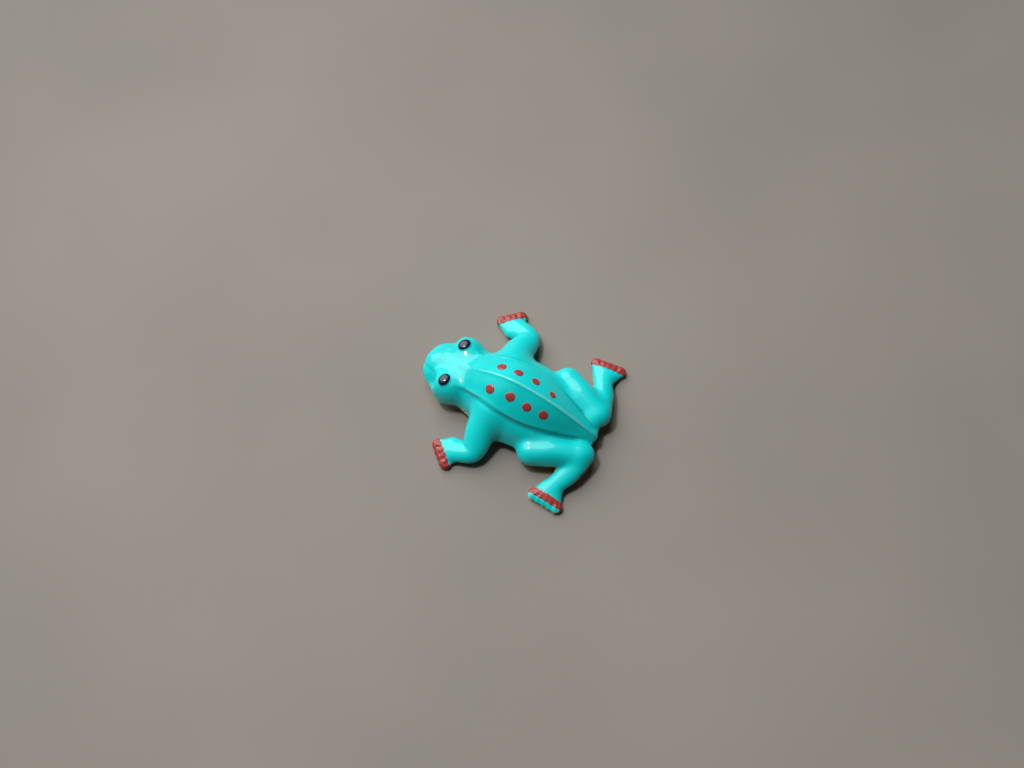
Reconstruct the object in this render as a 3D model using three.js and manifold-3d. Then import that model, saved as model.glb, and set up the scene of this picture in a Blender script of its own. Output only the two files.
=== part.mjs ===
// Wind-up jumping frog.
// A two-part pressed tin skin stands on four flat feet. Inside it sits a clockwork movement between
// two plates: key and mainspring, great wheel, second wheel, and a face cam that holds up and then
// lets go a spring-loaded kicker under the belly. Millimetres, +X towards the snout, +Y to the
// frog's left, +Z up, ground at z = 0.

import * as THREE from 'three';
import { LoftGeometry } from 'three/addons/geometries/LoftGeometry.js';
import { mergeVertices } from 'three/addons/utils/BufferGeometryUtils.js';
import Module from 'manifold-3d';

const wasm = await Module();
wasm.setup();

// ---------------------------------------------------------------- overall sizes and sheet metal
const FROG_LENGTH = 45;
const FROG_WIDTH = 42;
const FROG_HEIGHT = 14;
const DRAWN_LENGTH = 45;
const DRAWN_WIDTH = 42;
const DRAWN_HEIGHT = 14;
const SKIN = 0.5;
const SEAM_GAP = 0.16;
const PART_GAP = 0.1;
const RUN_GAP = 0.05;

const stretchX = FROG_LENGTH / DRAWN_LENGTH;
const stretchY = FROG_WIDTH / DRAWN_WIDTH;
const stretchZ = FROG_HEIGHT / DRAWN_HEIGHT;

// The seam between the back and the belly: high along the body, low out on the feet.
const SEAM_BODY_Z = 3.0;
const SEAM_FOOT_Z = 1.0;
const SEAM_BODY_Y = 9.4;
const SEAM_FOOT_Y = 14.5;
const seamBodyY = SEAM_BODY_Y * stretchY;
const seamFootY = SEAM_FOOT_Y * stretchY;
const seamBodyZ = SEAM_BODY_Z * stretchZ;

// ---------------------------------------------------------------- shape of the skin
// Body formers from the tail to the snout: crest of the back, fold between back and flank,
// widest point of the flank, and the floor of the belly.
const BELLY_FLOOR = 2.3;
const BODY = [
  { x: -19.9, crest: 4.0, foldY: 0.5, foldZ: 3.7, side: 0.9, sideZ: 3.1, floor: 2.8 },
  { x: -19.2, crest: 4.8, foldY: 1.0, foldZ: 4.2, side: 2.6, sideZ: 3.1, floor: 2.5 },
  { x: -17.2, crest: 6.3, foldY: 1.6, foldZ: 5.2, side: 4.8, sideZ: 3.0, floor: 2.3 },
  { x: -13.5, crest: 8.9, foldY: 3.2, foldZ: 6.4, side: 7.2, sideZ: 3.0, floor: BELLY_FLOOR },
  { x: -9.3, crest: 11.4, foldY: 4.9, foldZ: 7.8, side: 9.0, sideZ: 3.0, floor: BELLY_FLOOR },
  { x: -4.3, crest: 13.2, foldY: 6.2, foldZ: 9.2, side: 10.1, sideZ: 3.0, floor: BELLY_FLOOR },
  { x: 0.5, crest: 14.0, foldY: 6.3, foldZ: 10.2, side: 10.3, sideZ: 3.0, floor: BELLY_FLOOR },
  { x: 4.5, crest: 13.2, foldY: 5.6, foldZ: 10.2, side: 9.4, sideZ: 3.0, floor: BELLY_FLOOR },
  { x: 8.3, crest: 11.4, foldY: 4.9, foldZ: 9.2, side: 8.0, sideZ: 3.0, floor: BELLY_FLOOR },
  { x: 11.6, crest: 9.4, foldY: 4.2, foldZ: 7.8, side: 7.3, sideZ: 3.0, floor: BELLY_FLOOR },
  { x: 14.8, crest: 8.0, foldY: 4.2, foldZ: 6.8, side: 8.1, sideZ: 3.0, floor: BELLY_FLOOR },
  { x: 18.0, crest: 6.5, foldY: 3.0, foldZ: 5.7, side: 6.3, sideZ: 3.1, floor: 2.4 },
  { x: 20.4, crest: 6.0, foldY: 2.4, foldZ: 5.4, side: 5.0, sideZ: 3.3, floor: 2.6 },
  { x: 22.0, crest: 5.2, foldY: 1.5, foldZ: 4.8, side: 3.1, sideZ: 3.4, floor: 2.8 },
  { x: 22.5, crest: 4.2, foldY: 0.4, foldZ: 4.0, side: 0.6, sideZ: 3.5, floor: 3.2 },
];
const EYE_MOUND = { x: 14.6, y: 4.6, z: 4.9, length: 3.9, width: 3.5, height: 3.6 };

// Left-hand limbs, each a row of oval sections from the body outwards.
const ARM = [
  { x: 3.2, y: 6.2, z: 6.2, wide: 3.9, high: 3.2 },
  { x: 3.4, y: 10.2, z: 4.3, wide: 3.4, high: 2.6 },
  { x: 3.1, y: 14.4, z: 2.4, wide: 2.7, high: 2.1 },
  { x: 5.1, y: 15.8, z: 1.9, wide: 2.5, high: 1.8 },
  { x: 7.4, y: 16.0, z: 1.5, wide: 2.6, high: 1.3 },
];
const THIGH = [
  { x: -8.4, y: 9.2, z: 3.2, wide: 3.2, high: 3.0 },
  { x: -12.8, y: 7.4, z: 3.3, wide: 3.1, high: 3.2 },
  { x: -17.7, y: 5.4, z: 3.2, wide: 2.9, high: 2.7 },
];
const SHANK = [
  { x: -18.4, y: 5.0, z: 3.2, wide: 3.1, high: 2.4 },
  { x: -17.9, y: 9.2, z: 2.5, wide: 2.7, high: 2.0 },
  { x: -16.5, y: 12.8, z: 1.8, wide: 2.2, high: 1.5 },
  { x: -15.8, y: 15.2, z: 1.3, wide: 2.6, high: 1.2 },
];
// How finely the outside and the hidden inside of the skin are faceted.
const OUTSIDE = { inset: 0, bodySteps: 22, backSteps: 2, flankSteps: 7, limbSteps: 5, limbSides: 10,
  limbTips: [75, 45], eyeSides: 14, toeSegments: 4 };
const INSIDE = { inset: SKIN, bodySteps: 10, backSteps: 2, flankSteps: 4, limbSteps: 3, limbSides: 6,
  limbTips: [55], eyeSides: 8, toeSegments: 2 };

const FOOT_THICKNESS = 2.0;
const FOOT_ROUNDING = 0.3;
const FRONT_FOOT = { x: 6.7, y: 15.3, turn: 48, length: 5.1, heel: 4.4, width: 7.1, toes: 4 };
const HIND_FOOT = { x: -16.2, y: 13.1, turn: 85, length: 5.5, heel: 3.8, width: 8.2, toes: 5 };
// The right-hand limbs are set a little further forward than the left.
const RIGHT_ARM_FORWARD = 1.1;
const RIGHT_HIND_FORWARD = 1.0;

// Four straps of the back pass through slots in the belly and are bent over.
const STRAP = { width: 2.0, thickness: 0.4, fold: 1.5, top: 9.0, stations: [-4.5, 5.5], side: 6.9 };

// ---------------------------------------------------------------- movement, from the floor up
const floorTop = BELLY_FLOOR * stretchZ + SKIN;
const PLATE = 0.4;
const BOSS_HEIGHT = 0.2;
const LEVEL_GAP = 0.2;
const WHEEL_THICKNESS = 0.5;
const SPRING_HEIGHT = 1.1;
const PIN_END = 0.15;

const lowerPlateZ = floorTop + BOSS_HEIGHT + RUN_GAP;
const lowerPlateTop = lowerPlateZ + PLATE;
const kickLevel = lowerPlateTop + LEVEL_GAP;
const ratchetLevel = kickLevel + WHEEL_THICKNESS + LEVEL_GAP;
const greatLevel = ratchetLevel + WHEEL_THICKNESS + LEVEL_GAP;
const springLevel = greatLevel + WHEEL_THICKNESS + LEVEL_GAP;
const upperPlateZ = springLevel + SPRING_HEIGHT + LEVEL_GAP;
const upperPlateTop = upperPlateZ + PLATE;

// Wheels and pinions share one module.
const GEAR_MODULE = 0.3;
const MESH_PLAY = 0.03;
const GREAT_TEETH = 32;
const SECOND_TEETH = 24;
const PINION_TEETH = 8;
const ADDENDUM = 0.8 * GEAR_MODULE;
const DEDENDUM = 1.1 * GEAR_MODULE;
const WHEEL_RIM = 0.37;
const WHEEL_WINDOW = 0.8;
const SECOND_WINDOW = 0.7;
const pitchRadius = (teeth) => GEAR_MODULE * teeth / 2;
const greatRadius = pitchRadius(GREAT_TEETH) + ADDENDUM;
const secondRadius = pitchRadius(SECOND_TEETH) + ADDENDUM;

const ARBOR_RADIUS = 0.45;
const WINDING_RADIUS = 0.8;
const PIVOT_RADIUS = 0.25;

// Arbor places: each next arbor lies one mesh distance away, in a set direction.
const WINDING = new THREE.Vector2(4.0, 0);
const SECOND_BEARING = THREE.MathUtils.degToRad(158.6);
const CAM_BEARING = THREE.MathUtils.degToRad(231.3);
const meshDistance = (teeth) => pitchRadius(teeth) + pitchRadius(PINION_TEETH) + MESH_PLAY;
const SECOND = polar(WINDING, meshDistance(GREAT_TEETH), SECOND_BEARING);
const CAM = polar(SECOND, meshDistance(SECOND_TEETH), CAM_BEARING);

const RATCHET_TEETH = 12;
const RATCHET_TIP = 1.9;
const RATCHET_ROOT = 1.4;
const CLICK_PIVOT = 3.3;
const CLICK_RIVET = 0.4;

const CAM_RADIUS = 3.0;
const CAM_FLANGE = 0.3;
const CAM_RISE = 1.35;
const CAM_GAP_ANGLE = THREE.MathUtils.degToRad(44);

const PILLAR_RADIUS = 0.6;
const PILLAR_TENON = 0.4;
const PLATE_EDGE = 0.8;
const pillarReach = greatRadius + PILLAR_RADIUS + LEVEL_GAP;
const frontPillar = polar(WINDING, pillarReach, Math.PI / 4);
const rearPillarX = CAM.x - CAM_RADIUS + 0.4;
const rearPillarY = Math.abs(CAM.y) + CAM_RADIUS;
const PILLARS = [
  { name: 'pillar_front_left', x: frontPillar.x, y: frontPillar.y },
  { name: 'pillar_front_right', x: frontPillar.x, y: -frontPillar.y },
  { name: 'pillar_rear_left', x: rearPillarX, y: rearPillarY },
  { name: 'pillar_rear_right', x: rearPillarX, y: -rearPillarY },
];

// Kicker: a bent lever on a cross pin behind the cam.
const KICK_REACH = 2.8;
const KICK_CAM_RADIUS = 2.1;
const KICK_SHEET = 0.5;
const KICK_FINGER = 1.0;
const KICK_HUB = 0.85;
const KICK_PIN = 0.35;
const KICK_FOOT = { top: 1.5, width: 5.0, length: 6.5, drop: 1.6 };
const KICK_RISER_WIDTH = 3.0;
const EAR = { side: 2.4, thickness: 0.45, width: 1.3, rise: 0.8 };
const kickPivot = { x: CAM.x - KICK_CAM_RADIUS - KICK_REACH, z: kickLevel + KICK_SHEET / 2 };
const KICK_SLOT = { front: 0.9, rear: 2.0, width: 3.8 };
const WIRE = 0.15;

// Key: a forked head on the winding arbor, and a bow that folds flat under the belly.
const KEY_HEAD = { radius: 1.25, bottom: 0.45, top: 2.0 };
const KEY_BOW = { thickness: 0.7, reach: 4.6, half: 2.9, neck: 1.5 };
const KEY_PIN = 0.25;
const keyPinZ = KEY_HEAD.bottom + 0.15 + KEY_BOW.thickness / 2;
const KEY_HOLE = 1.1;

const SCREW = { shank: 0.5, head: 1.0, headHeight: 0.4, slot: 0.3, rise: 0.3 };
const SCREWS = [
  { name: 'movement_screw_front', x: WINDING.x + 3.7, y: 0 },
  { name: 'movement_screw_rear', x: rearPillarX, y: rearPillarY - 2.0 },
];

// ---------------------------------------------------------------- materials
const finish = (color, roughness, metalness) =>
  new THREE.MeshStandardMaterial({ color, roughness, metalness });
const TURQUOISE_ENAMEL = finish(0x16d3c4, 0.18, 0.0);
const YELLOW_ENAMEL = finish(0xe9a13b, 0.25, 0.0);
const BRASS = finish(0xc9a24b, 0.32, 1.0);
const STEEL = finish(0xa9adb2, 0.35, 1.0);
const SPRING_STEEL = finish(0x5d6a78, 0.3, 1.0);
const NICKEL = finish(0xc9c6bd, 0.22, 1.0);

// ---------------------------------------------------------------- small helpers
function polar(centre, distance, angle) {
  const x = centre.x + distance * Math.cos(angle);
  const y = centre.y + distance * Math.sin(angle);
  return new THREE.Vector2(x, y);
}

function solid(geometry) {
  geometry.deleteAttribute('normal');
  geometry.deleteAttribute('uv');
  const merged = mergeVertices(new THREE.BufferGeometry().copy(geometry), 1e-5);
  return new wasm.Manifold(new wasm.Mesh({
    numProp: 3,
    vertProperties: new Float32Array(merged.attributes.position.array),
    triVerts: new Uint32Array(merged.index.array),
  }));
}

function toGeometry(body) {
  const mesh = body.getMesh();
  const geometry = new THREE.BufferGeometry();
  geometry.setAttribute('position', new THREE.BufferAttribute(mesh.vertProperties, 3));
  geometry.setIndex(new THREE.BufferAttribute(mesh.triVerts, 1));
  geometry.computeVertexNormals();
  return geometry;
}

function join(...solids) {
  return solids.reduce((sum, next) => sum.add(next));
}

function cut(body, ...tools) {
  return tools.reduce((rest, tool) => rest.subtract(tool), body);
}

function box(x0, x1, y0, y1, z0, z1) {
  const geometry = new THREE.BoxGeometry(x1 - x0, y1 - y0, z1 - z0);
  geometry.translate((x0 + x1) / 2, (y0 + y1) / 2, (z0 + z1) / 2);
  return solid(geometry);
}

function disc(centre, radius, z0, z1, sides = 16) {
  const geometry = new THREE.CylinderGeometry(radius, radius, z1 - z0, sides);
  geometry.rotateX(Math.PI / 2);
  geometry.translate(centre.x, centre.y, (z0 + z1) / 2);
  return solid(geometry);
}

function crossRod(x, z, radius, y0, y1, sides = 16) {
  const geometry = new THREE.CylinderGeometry(radius, radius, y1 - y0, sides);
  geometry.translate(x, (y0 + y1) / 2, z);
  return solid(geometry);
}

function plateSolid(shape, z0, z1) {
  const geometry = new THREE.ExtrudeGeometry(shape, { depth: z1 - z0, bevelEnabled: false });
  geometry.translate(0, 0, z0);
  return solid(geometry);
}

function turned(centre, profile, sides = 14) {
  const points = profile.map(([radius, z]) => new THREE.Vector2(radius, z));
  const geometry = new THREE.LatheGeometry(points, sides);
  geometry.rotateX(Math.PI / 2);
  geometry.translate(centre.x, centre.y, 0);
  return solid(geometry);
}

function mirrored(body) {
  return body.mirror([0, 1, 0]);
}

// ---------------------------------------------------------------- the frog's outer form
function bodyOutline({ x, crest, foldY, foldZ, side, sideZ, floor }) {
  const flank = side - foldY;
  const drop = foldZ - sideZ;
  const points = [
    [0, crest],
    [foldY * 0.5, THREE.MathUtils.lerp(crest, foldZ, 0.42)],
    [foldY, foldZ],
    [foldY + flank * 0.1, foldZ - drop * 0.16],
    [foldY + flank * 0.64, foldZ - drop * 0.5],
    [side, sideZ],
    [side * 0.95, THREE.MathUtils.lerp(sideZ, floor, 0.66)],
    [side * 0.8, floor],
    [0, floor],
  ];
  return points.map(([y, z]) => new THREE.Vector3(x * stretchX, y * stretchY, z * stretchZ));
}

// The body is lofted along rails that run through the same point of every former.
function bodySolid(formers, { bodySteps, backSteps, flankSteps }) {
  const outlines = formers.map(bodyOutline);
  const rails = outlines[0].map((_, index) => new THREE.CatmullRomCurve3(
    outlines.map((outline) => outline[index]), false, 'catmullrom', 0.5));
  const sections = [];
  for (let step = 0; step <= bodySteps; step += 1) {
    const knots = rails.map((rail) => rail.getPoint(step / bodySteps));
    const back = new THREE.CatmullRomCurve3(knots.slice(0, 3)).getPoints(backSteps);
    const flank = new THREE.CatmullRomCurve3(knots.slice(3)).getPoints(flankSteps);
    const left = [...back, ...flank];
    const right = left.slice(1, -1).map((point) => new THREE.Vector3(point.x, -point.y, point.z));
    sections.push([left[0], ...right, left[left.length - 1], ...left.slice(1, -1).reverse()]);
  }
  return solid(new LoftGeometry(sections, { closed: true, capStart: true, capEnd: true }));
}

function bodyInside() {
  const ends = (x) => x - Math.sign(x) * SKIN * Math.abs(x / BODY[0].x);
  return bodySolid(BODY.slice(1, -1).map((former) => ({
    x: ends(former.x),
    crest: former.crest - SKIN * 1.15,
    foldY: former.foldY - SKIN * 0.45,
    foldZ: former.foldZ - SKIN * 1.1,
    side: former.side - SKIN * 1.1,
    sideZ: former.sideZ,
    floor: former.floor + SKIN,
  })), INSIDE);
}

// A limb is lofted through oval sections and closed with round ends.
function limbSolid(row, { inset, limbSteps, limbSides, limbTips }) {
  const scale = new THREE.Vector3(stretchX, stretchY, stretchZ);
  const path = new THREE.CatmullRomCurve3(
    row.map(({ x, y, z }) => new THREE.Vector3(x, y, z).multiply(scale)));
  const girth = new THREE.CatmullRomCurve3(
    row.map(({ wide, high }) => new THREE.Vector3(wide - inset, high - inset, 0)));
  const up = new THREE.Vector3(0, 0, 1);
  const ring = (at, along, shift, shrink) => {
    const { x: wide, y: high } = girth.getPoint(at);
    const tangent = path.getTangent(at);
    const across = new THREE.Vector3().crossVectors(up, tangent).normalize();
    const lift = new THREE.Vector3().crossVectors(tangent, across);
    const centre = path.getPoint(at).addScaledVector(tangent, shift * along * wide);
    return Array.from({ length: limbSides }, (_, index) => {
      const angle = 2 * Math.PI * index / limbSides;
      return centre.clone()
        .addScaledVector(across, wide * shrink * Math.cos(angle))
        .addScaledVector(lift, high * shrink * Math.sin(angle));
    });
  };
  const tips = limbTips.map(THREE.MathUtils.degToRad);
  const sections = [
    ...tips.map((tip) => ring(0, -1, Math.sin(tip), Math.cos(tip))),
    ...Array.from({ length: limbSteps + 1 }, (_, step) => ring(step / limbSteps, 0, 0, 1)),
    ...tips.reverse().map((tip) => ring(1, 1, Math.sin(tip), Math.cos(tip))),
  ];
  return solid(new LoftGeometry(sections, { closed: true, capStart: true, capEnd: true }));
}

// A webbed foot: a fan from the heel to a row of round toes, with a flat sole.
function footSolid({ x, y, turn, length, heel, width, toes }, { inset, toeSegments }) {
  const half = width / 2 - inset;
  const toe = half / toes;
  const toeX = length - inset - toe;
  const outline = new THREE.Shape();
  outline.moveTo(inset, inset - heel / 2);
  outline.lineTo(toeX, -half);
  for (let index = 0; index < toes; index += 1) {
    const across = toe * (2 * index + 1) - half;
    outline.absarc(toeX, across, toe, -Math.PI / 2, Math.PI / 2, false);
  }
  outline.lineTo(inset, heel / 2 - inset);
  outline.closePath();
  const rounding = inset > 0 ? 0 : FOOT_ROUNDING;
  const geometry = new THREE.ExtrudeGeometry(outline, {
    depth: FOOT_THICKNESS - inset - 2 * rounding,
    bevelEnabled: rounding > 0,
    bevelSize: rounding,
    bevelOffset: -rounding,
    bevelThickness: rounding,
    bevelSegments: 1,
    curveSegments: toeSegments,
  });
  geometry.translate(0, 0, rounding);
  geometry.rotateZ(THREE.MathUtils.degToRad(turn));
  geometry.translate(x * stretchX, y * stretchY, 0);
  return solid(geometry);
}

function eyeMound({ inset, eyeSides }) {
  const geometry = new THREE.SphereGeometry(1, eyeSides, eyeSides * 0.625);
  geometry.scale(EYE_MOUND.length - inset, EYE_MOUND.width - inset, EYE_MOUND.height - inset);
  geometry.translate(EYE_MOUND.x * stretchX, EYE_MOUND.y * stretchY, EYE_MOUND.z * stretchZ);
  return solid(geometry);
}

function frogForm(body, detail) {
  const trunk = join(eyeMound(detail), limbSolid(THIGH, detail));
  const foreleg = join(limbSolid(ARM, detail), footSolid(FRONT_FOOT, detail));
  const shank = join(limbSolid(SHANK, detail), footSolid(HIND_FOOT, detail));
  const left = join(trunk, foreleg, shank);
  const right = mirrored(join(trunk, foreleg.translate([RIGHT_ARM_FORWARD, 0, 0]),
    shank.translate([RIGHT_HIND_FORWARD, 0, 0])));
  const reach = FROG_LENGTH;
  const aboveGround = box(-reach, reach, -reach, reach, detail.inset, reach);
  return join(body, left, right).intersect(aboveGround);
}

// Everything on one side of the seam, as a prism along the frog.
function seamBlock(offset, far) {
  const reach = FROG_LENGTH;
  const outline = new THREE.Shape([
    [-reach, SEAM_FOOT_Z + offset],
    [-seamFootY, SEAM_FOOT_Z + offset],
    [-seamBodyY, seamBodyZ + offset],
    [seamBodyY, seamBodyZ + offset],
    [seamFootY, SEAM_FOOT_Z + offset],
    [reach, SEAM_FOOT_Z + offset],
    [reach, far],
    [-reach, far],
  ].map(([y, z]) => new THREE.Vector2(y, z)));
  const geometry = new THREE.ExtrudeGeometry(outline, { depth: 2 * reach, bevelEnabled: false });
  geometry.translate(0, 0, -reach);
  geometry.applyMatrix4(new THREE.Matrix4().makeBasis(
    new THREE.Vector3(0, 1, 0), new THREE.Vector3(0, 0, 1), new THREE.Vector3(1, 0, 0)));
  return solid(geometry);
}

const strapPlaces = STRAP.stations.flatMap((x) => [1, -1].map((hand) => ({ x, hand })));

function strapBox(place, from, to, low, high, play) {
  const ends = [place.hand * (from - play), place.hand * (to + play)].sort((a, b) => a - b);
  const half = STRAP.width / 2 + play;
  return box(place.x - half, place.x + half, ends[0], ends[1], low, high);
}

const outerForm = frogForm(bodySolid(BODY, OUTSIDE), OUTSIDE);
const innerForm = frogForm(bodyInside(), INSIDE);
const skin = outerForm.subtract(innerForm);
const beltFloor = floorTop - SKIN;

function topShell() {
  const upper = skin.intersect(seamBlock(SEAM_GAP / 2, FROG_LENGTH));
  const legs = strapPlaces.map((place) => {
    const { side, thickness, fold, top } = STRAP;
    const strip = strapBox(place, side, side + thickness, beltFloor, top, 0).intersect(outerForm);
    const foldTop = beltFloor - PART_GAP;
    const folded = strapBox(place, side - fold, side + thickness, foldTop - thickness, foldTop, 0);
    const root = strapBox(place, side, side + thickness, foldTop - thickness, beltFloor + SKIN, 0);
    return join(strip, root, folded);
  });
  return join(upper, ...legs);
}

function bellyShell() {
  const lower = skin.intersect(seamBlock(-SEAM_GAP / 2, -FROG_LENGTH));
  const bosses = SCREWS.map((at) => disc(at, SCREW.head, beltFloor, floorTop + BOSS_HEIGHT));
  const screwHoles = SCREWS.map((at) => disc(at, SCREW.shank + PART_GAP, 0, lowerPlateZ));
  const slots = strapPlaces.map((place) => strapBox(
    place, STRAP.side, STRAP.side + STRAP.thickness, 0, seamBodyZ, PART_GAP));
  const keyHole = disc(WINDING, KEY_HOLE, 0, lowerPlateZ);
  const half = KICK_SLOT.width / 2;
  const kickSlot = box(kickPivot.x - KICK_SLOT.rear, kickPivot.x + KICK_SLOT.front, -half, half,
    0, lowerPlateZ);
  return cut(join(lower, ...bosses), ...screwHoles, ...slots, keyHole, kickSlot);
}

// ---------------------------------------------------------------- movement frame
function plateOutline() {
  const reach = PLATE_EDGE - PILLAR_RADIUS / 2;
  const corners = PILLARS.map(({ x, y }) => new THREE.Vector2(
    x + Math.sign(x) * reach, y + Math.sign(y) * reach));
  const [frontLeft, frontRight, rearLeft, rearRight] = corners;
  return new THREE.Shape([rearRight, frontRight, frontLeft, rearLeft]);
}

function pivotHoles(z0, z1) {
  return [
    ...[SECOND, CAM].map((at) => disc(at, PIVOT_RADIUS + RUN_GAP, z0, z1)),
    ...PILLARS.map((at) => disc(at, PILLAR_TENON + RUN_GAP, z0, z1)),
  ];
}

function lowerPlate() {
  const half = EAR.side + EAR.thickness;
  const earX = [kickPivot.x - EAR.width / 2, kickPivot.x + EAR.width / 2];
  const tongue = box(earX[0], CAM.x, -half, half, lowerPlateZ, lowerPlateTop);
  const window = box(earX[0] - 1, kickPivot.x + KICK_SLOT.front, -EAR.side, EAR.side,
    lowerPlateZ - 1, lowerPlateTop + 1);
  const earTop = kickPivot.z + EAR.rise;
  const ears = [1, -1].map((hand) => {
    const sides = [hand * EAR.side, hand * half].sort((a, b) => a - b);
    return box(earX[0], earX[1], sides[0], sides[1], lowerPlateZ, earTop);
  });
  const body = join(plateSolid(plateOutline(), lowerPlateZ, lowerPlateTop), tongue, ...ears);
  const screwHoles = SCREWS.map((at) => disc(at, SCREW.shank + RUN_GAP, 0, lowerPlateTop + 1));
  const pinHole = crossRod(kickPivot.x, kickPivot.z, KICK_PIN + RUN_GAP, -half - 1, half + 1);
  const windingHole = disc(WINDING, WINDING_RADIUS + RUN_GAP, 0, lowerPlateTop + 1);
  return cut(body, window, pinHole, windingHole, ...screwHoles,
    ...pivotHoles(lowerPlateZ - 1, lowerPlateTop + 1));
}

function upperPlate() {
  const body = plateSolid(plateOutline(), upperPlateZ, upperPlateTop);
  const windingHole = disc(WINDING, PIVOT_RADIUS + RUN_GAP, upperPlateZ - 1, upperPlateTop + 1);
  return cut(body, windingHole, ...pivotHoles(upperPlateZ - 1, upperPlateTop + 1));
}

function pillar(at) {
  const tenonLow = lowerPlateZ - RUN_GAP;
  const tenonHigh = upperPlateTop + PIN_END;
  return turned(at, [
    [0, tenonLow], [PILLAR_TENON, tenonLow], [PILLAR_TENON, lowerPlateTop + RUN_GAP],
    [PILLAR_RADIUS, lowerPlateTop + RUN_GAP], [PILLAR_RADIUS, upperPlateZ - RUN_GAP],
    [PILLAR_TENON, upperPlateZ - RUN_GAP], [PILLAR_TENON, tenonHigh], [0, tenonHigh],
  ]);
}

// ---------------------------------------------------------------- wheels
// Teeth are straight-sided with slim tips, one centred on the direction `phase`.
function gearShape(teeth, phase) {
  const pitch = pitchRadius(teeth);
  const corners = [[pitch - DEDENDUM, 0.32], [pitch + ADDENDUM, 0.12]];
  const step = 2 * Math.PI / teeth;
  const points = [];
  for (let tooth = 0; tooth < teeth; tooth += 1) {
    const middle = phase + tooth * step;
    for (const [radius, half] of corners) {
      points.push(polar({ x: 0, y: 0 }, radius, middle - half * step));
    }
    for (const [radius, half] of [...corners].reverse()) {
      points.push(polar({ x: 0, y: 0 }, radius, middle + half * step));
    }
  }
  return new THREE.Shape(points);
}

function gear(centre, teeth, phase, z0, z1) {
  return plateSolid(gearShape(teeth, phase), z0, z1).translate([centre.x, centre.y, 0]);
}

function arborPivots(low, high, radius) {
  const shoulderLow = lowerPlateTop + RUN_GAP;
  const shoulderHigh = upperPlateZ - RUN_GAP;
  return [
    [0, low], [PIVOT_RADIUS, low], [PIVOT_RADIUS, shoulderLow], [radius, shoulderLow],
    [radius, shoulderHigh], [PIVOT_RADIUS, shoulderHigh], [PIVOT_RADIUS, high], [0, high],
  ];
}

function pinionArbor(at, pinionBearing, z0, z1) {
  const gapPhase = pinionBearing + Math.PI / PINION_TEETH;
  const shaft = turned(at, arborPivots(lowerPlateZ - RUN_GAP, upperPlateTop + PIN_END, ARBOR_RADIUS));
  return shaft.add(gear(at, PINION_TEETH, gapPhase, z0, z1));
}

function windingArbor() {
  const shoulderHigh = upperPlateZ - RUN_GAP;
  const end = upperPlateTop + PIN_END;
  return turned(WINDING, [
    [0, KEY_HEAD.top + RUN_GAP], [WINDING_RADIUS, KEY_HEAD.top + RUN_GAP],
    [WINDING_RADIUS, shoulderHigh], [PIVOT_RADIUS, shoulderHigh], [PIVOT_RADIUS, end], [0, end],
  ]);
}

function ratchetWheel() {
  const step = 2 * Math.PI / RATCHET_TEETH;
  const points = [];
  for (let tooth = 0; tooth < RATCHET_TEETH; tooth += 1) {
    points.push(polar({ x: 0, y: 0 }, RATCHET_ROOT, tooth * step));
    points.push(polar({ x: 0, y: 0 }, RATCHET_TIP, (tooth + 0.86) * step));
    points.push(polar({ x: 0, y: 0 }, RATCHET_TIP, (tooth + 0.97) * step));
  }
  const wheel = plateSolid(new THREE.Shape(points), ratchetLevel, ratchetLevel + WHEEL_THICKNESS);
  return cut(wheel.translate([WINDING.x, WINDING.y, 0]),
    disc(WINDING, WINDING_RADIUS + RUN_GAP, 0, greatLevel));
}

const clickPivot = new THREE.Vector2(WINDING.x + CLICK_PIVOT, WINDING.y);

function greatWheel() {
  const top = greatLevel + WHEEL_THICKNESS;
  const wheel = gear(WINDING, GREAT_TEETH, SECOND_BEARING, greatLevel, top);
  const rootRadius = pitchRadius(GREAT_TEETH) - DEDENDUM;
  const windows = [1, 2, 3].map((index) => disc(
    polar(WINDING, rootRadius - WHEEL_RIM - WHEEL_WINDOW, index * Math.PI / 2), WHEEL_WINDOW,
    greatLevel - 1, top + 1));
  return cut(wheel, ...windows,
    disc(WINDING, WINDING_RADIUS + RUN_GAP, greatLevel - 1, top + 1),
    disc(clickPivot, CLICK_RIVET + RUN_GAP, greatLevel - 1, top + 1));
}

// The click reaches from its rivet to just outside the ratchet's tips.
function click() {
  const tip = polar({ x: 0, y: 0 }, RATCHET_TIP + RUN_GAP, THREE.MathUtils.degToRad(37));
  const shape = new THREE.Shape([
    new THREE.Vector2(CLICK_PIVOT - 0.35, -0.45),
    new THREE.Vector2(CLICK_PIVOT + 0.35, 0.55),
    new THREE.Vector2(tip.x + 0.55, tip.y + 0.28),
    new THREE.Vector2(tip.x, tip.y),
    new THREE.Vector2(tip.x + 0.5, tip.y - 0.42),
  ]);
  const arm = plateSolid(shape, ratchetLevel, ratchetLevel + WHEEL_THICKNESS)
    .translate([WINDING.x, WINDING.y, 0]);
  const hub = disc(clickPivot, CLICK_RIVET * 2, ratchetLevel, ratchetLevel + WHEEL_THICKNESS);
  return cut(join(arm, hub),
    disc(clickPivot, CLICK_RIVET + RUN_GAP, ratchetLevel - 1, greatLevel));
}

function clickRivet() {
  const head = 0.12;
  const low = ratchetLevel - RUN_GAP;
  const high = greatLevel + WHEEL_THICKNESS + RUN_GAP;
  return turned(clickPivot, [
    [0, low - head], [CLICK_RIVET * 1.6, low - head], [CLICK_RIVET * 1.6, low], [CLICK_RIVET, low],
    [CLICK_RIVET, high], [CLICK_RIVET * 1.2, high], [CLICK_RIVET * 1.2, high + head], [0, high + head],
  ]);
}

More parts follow.
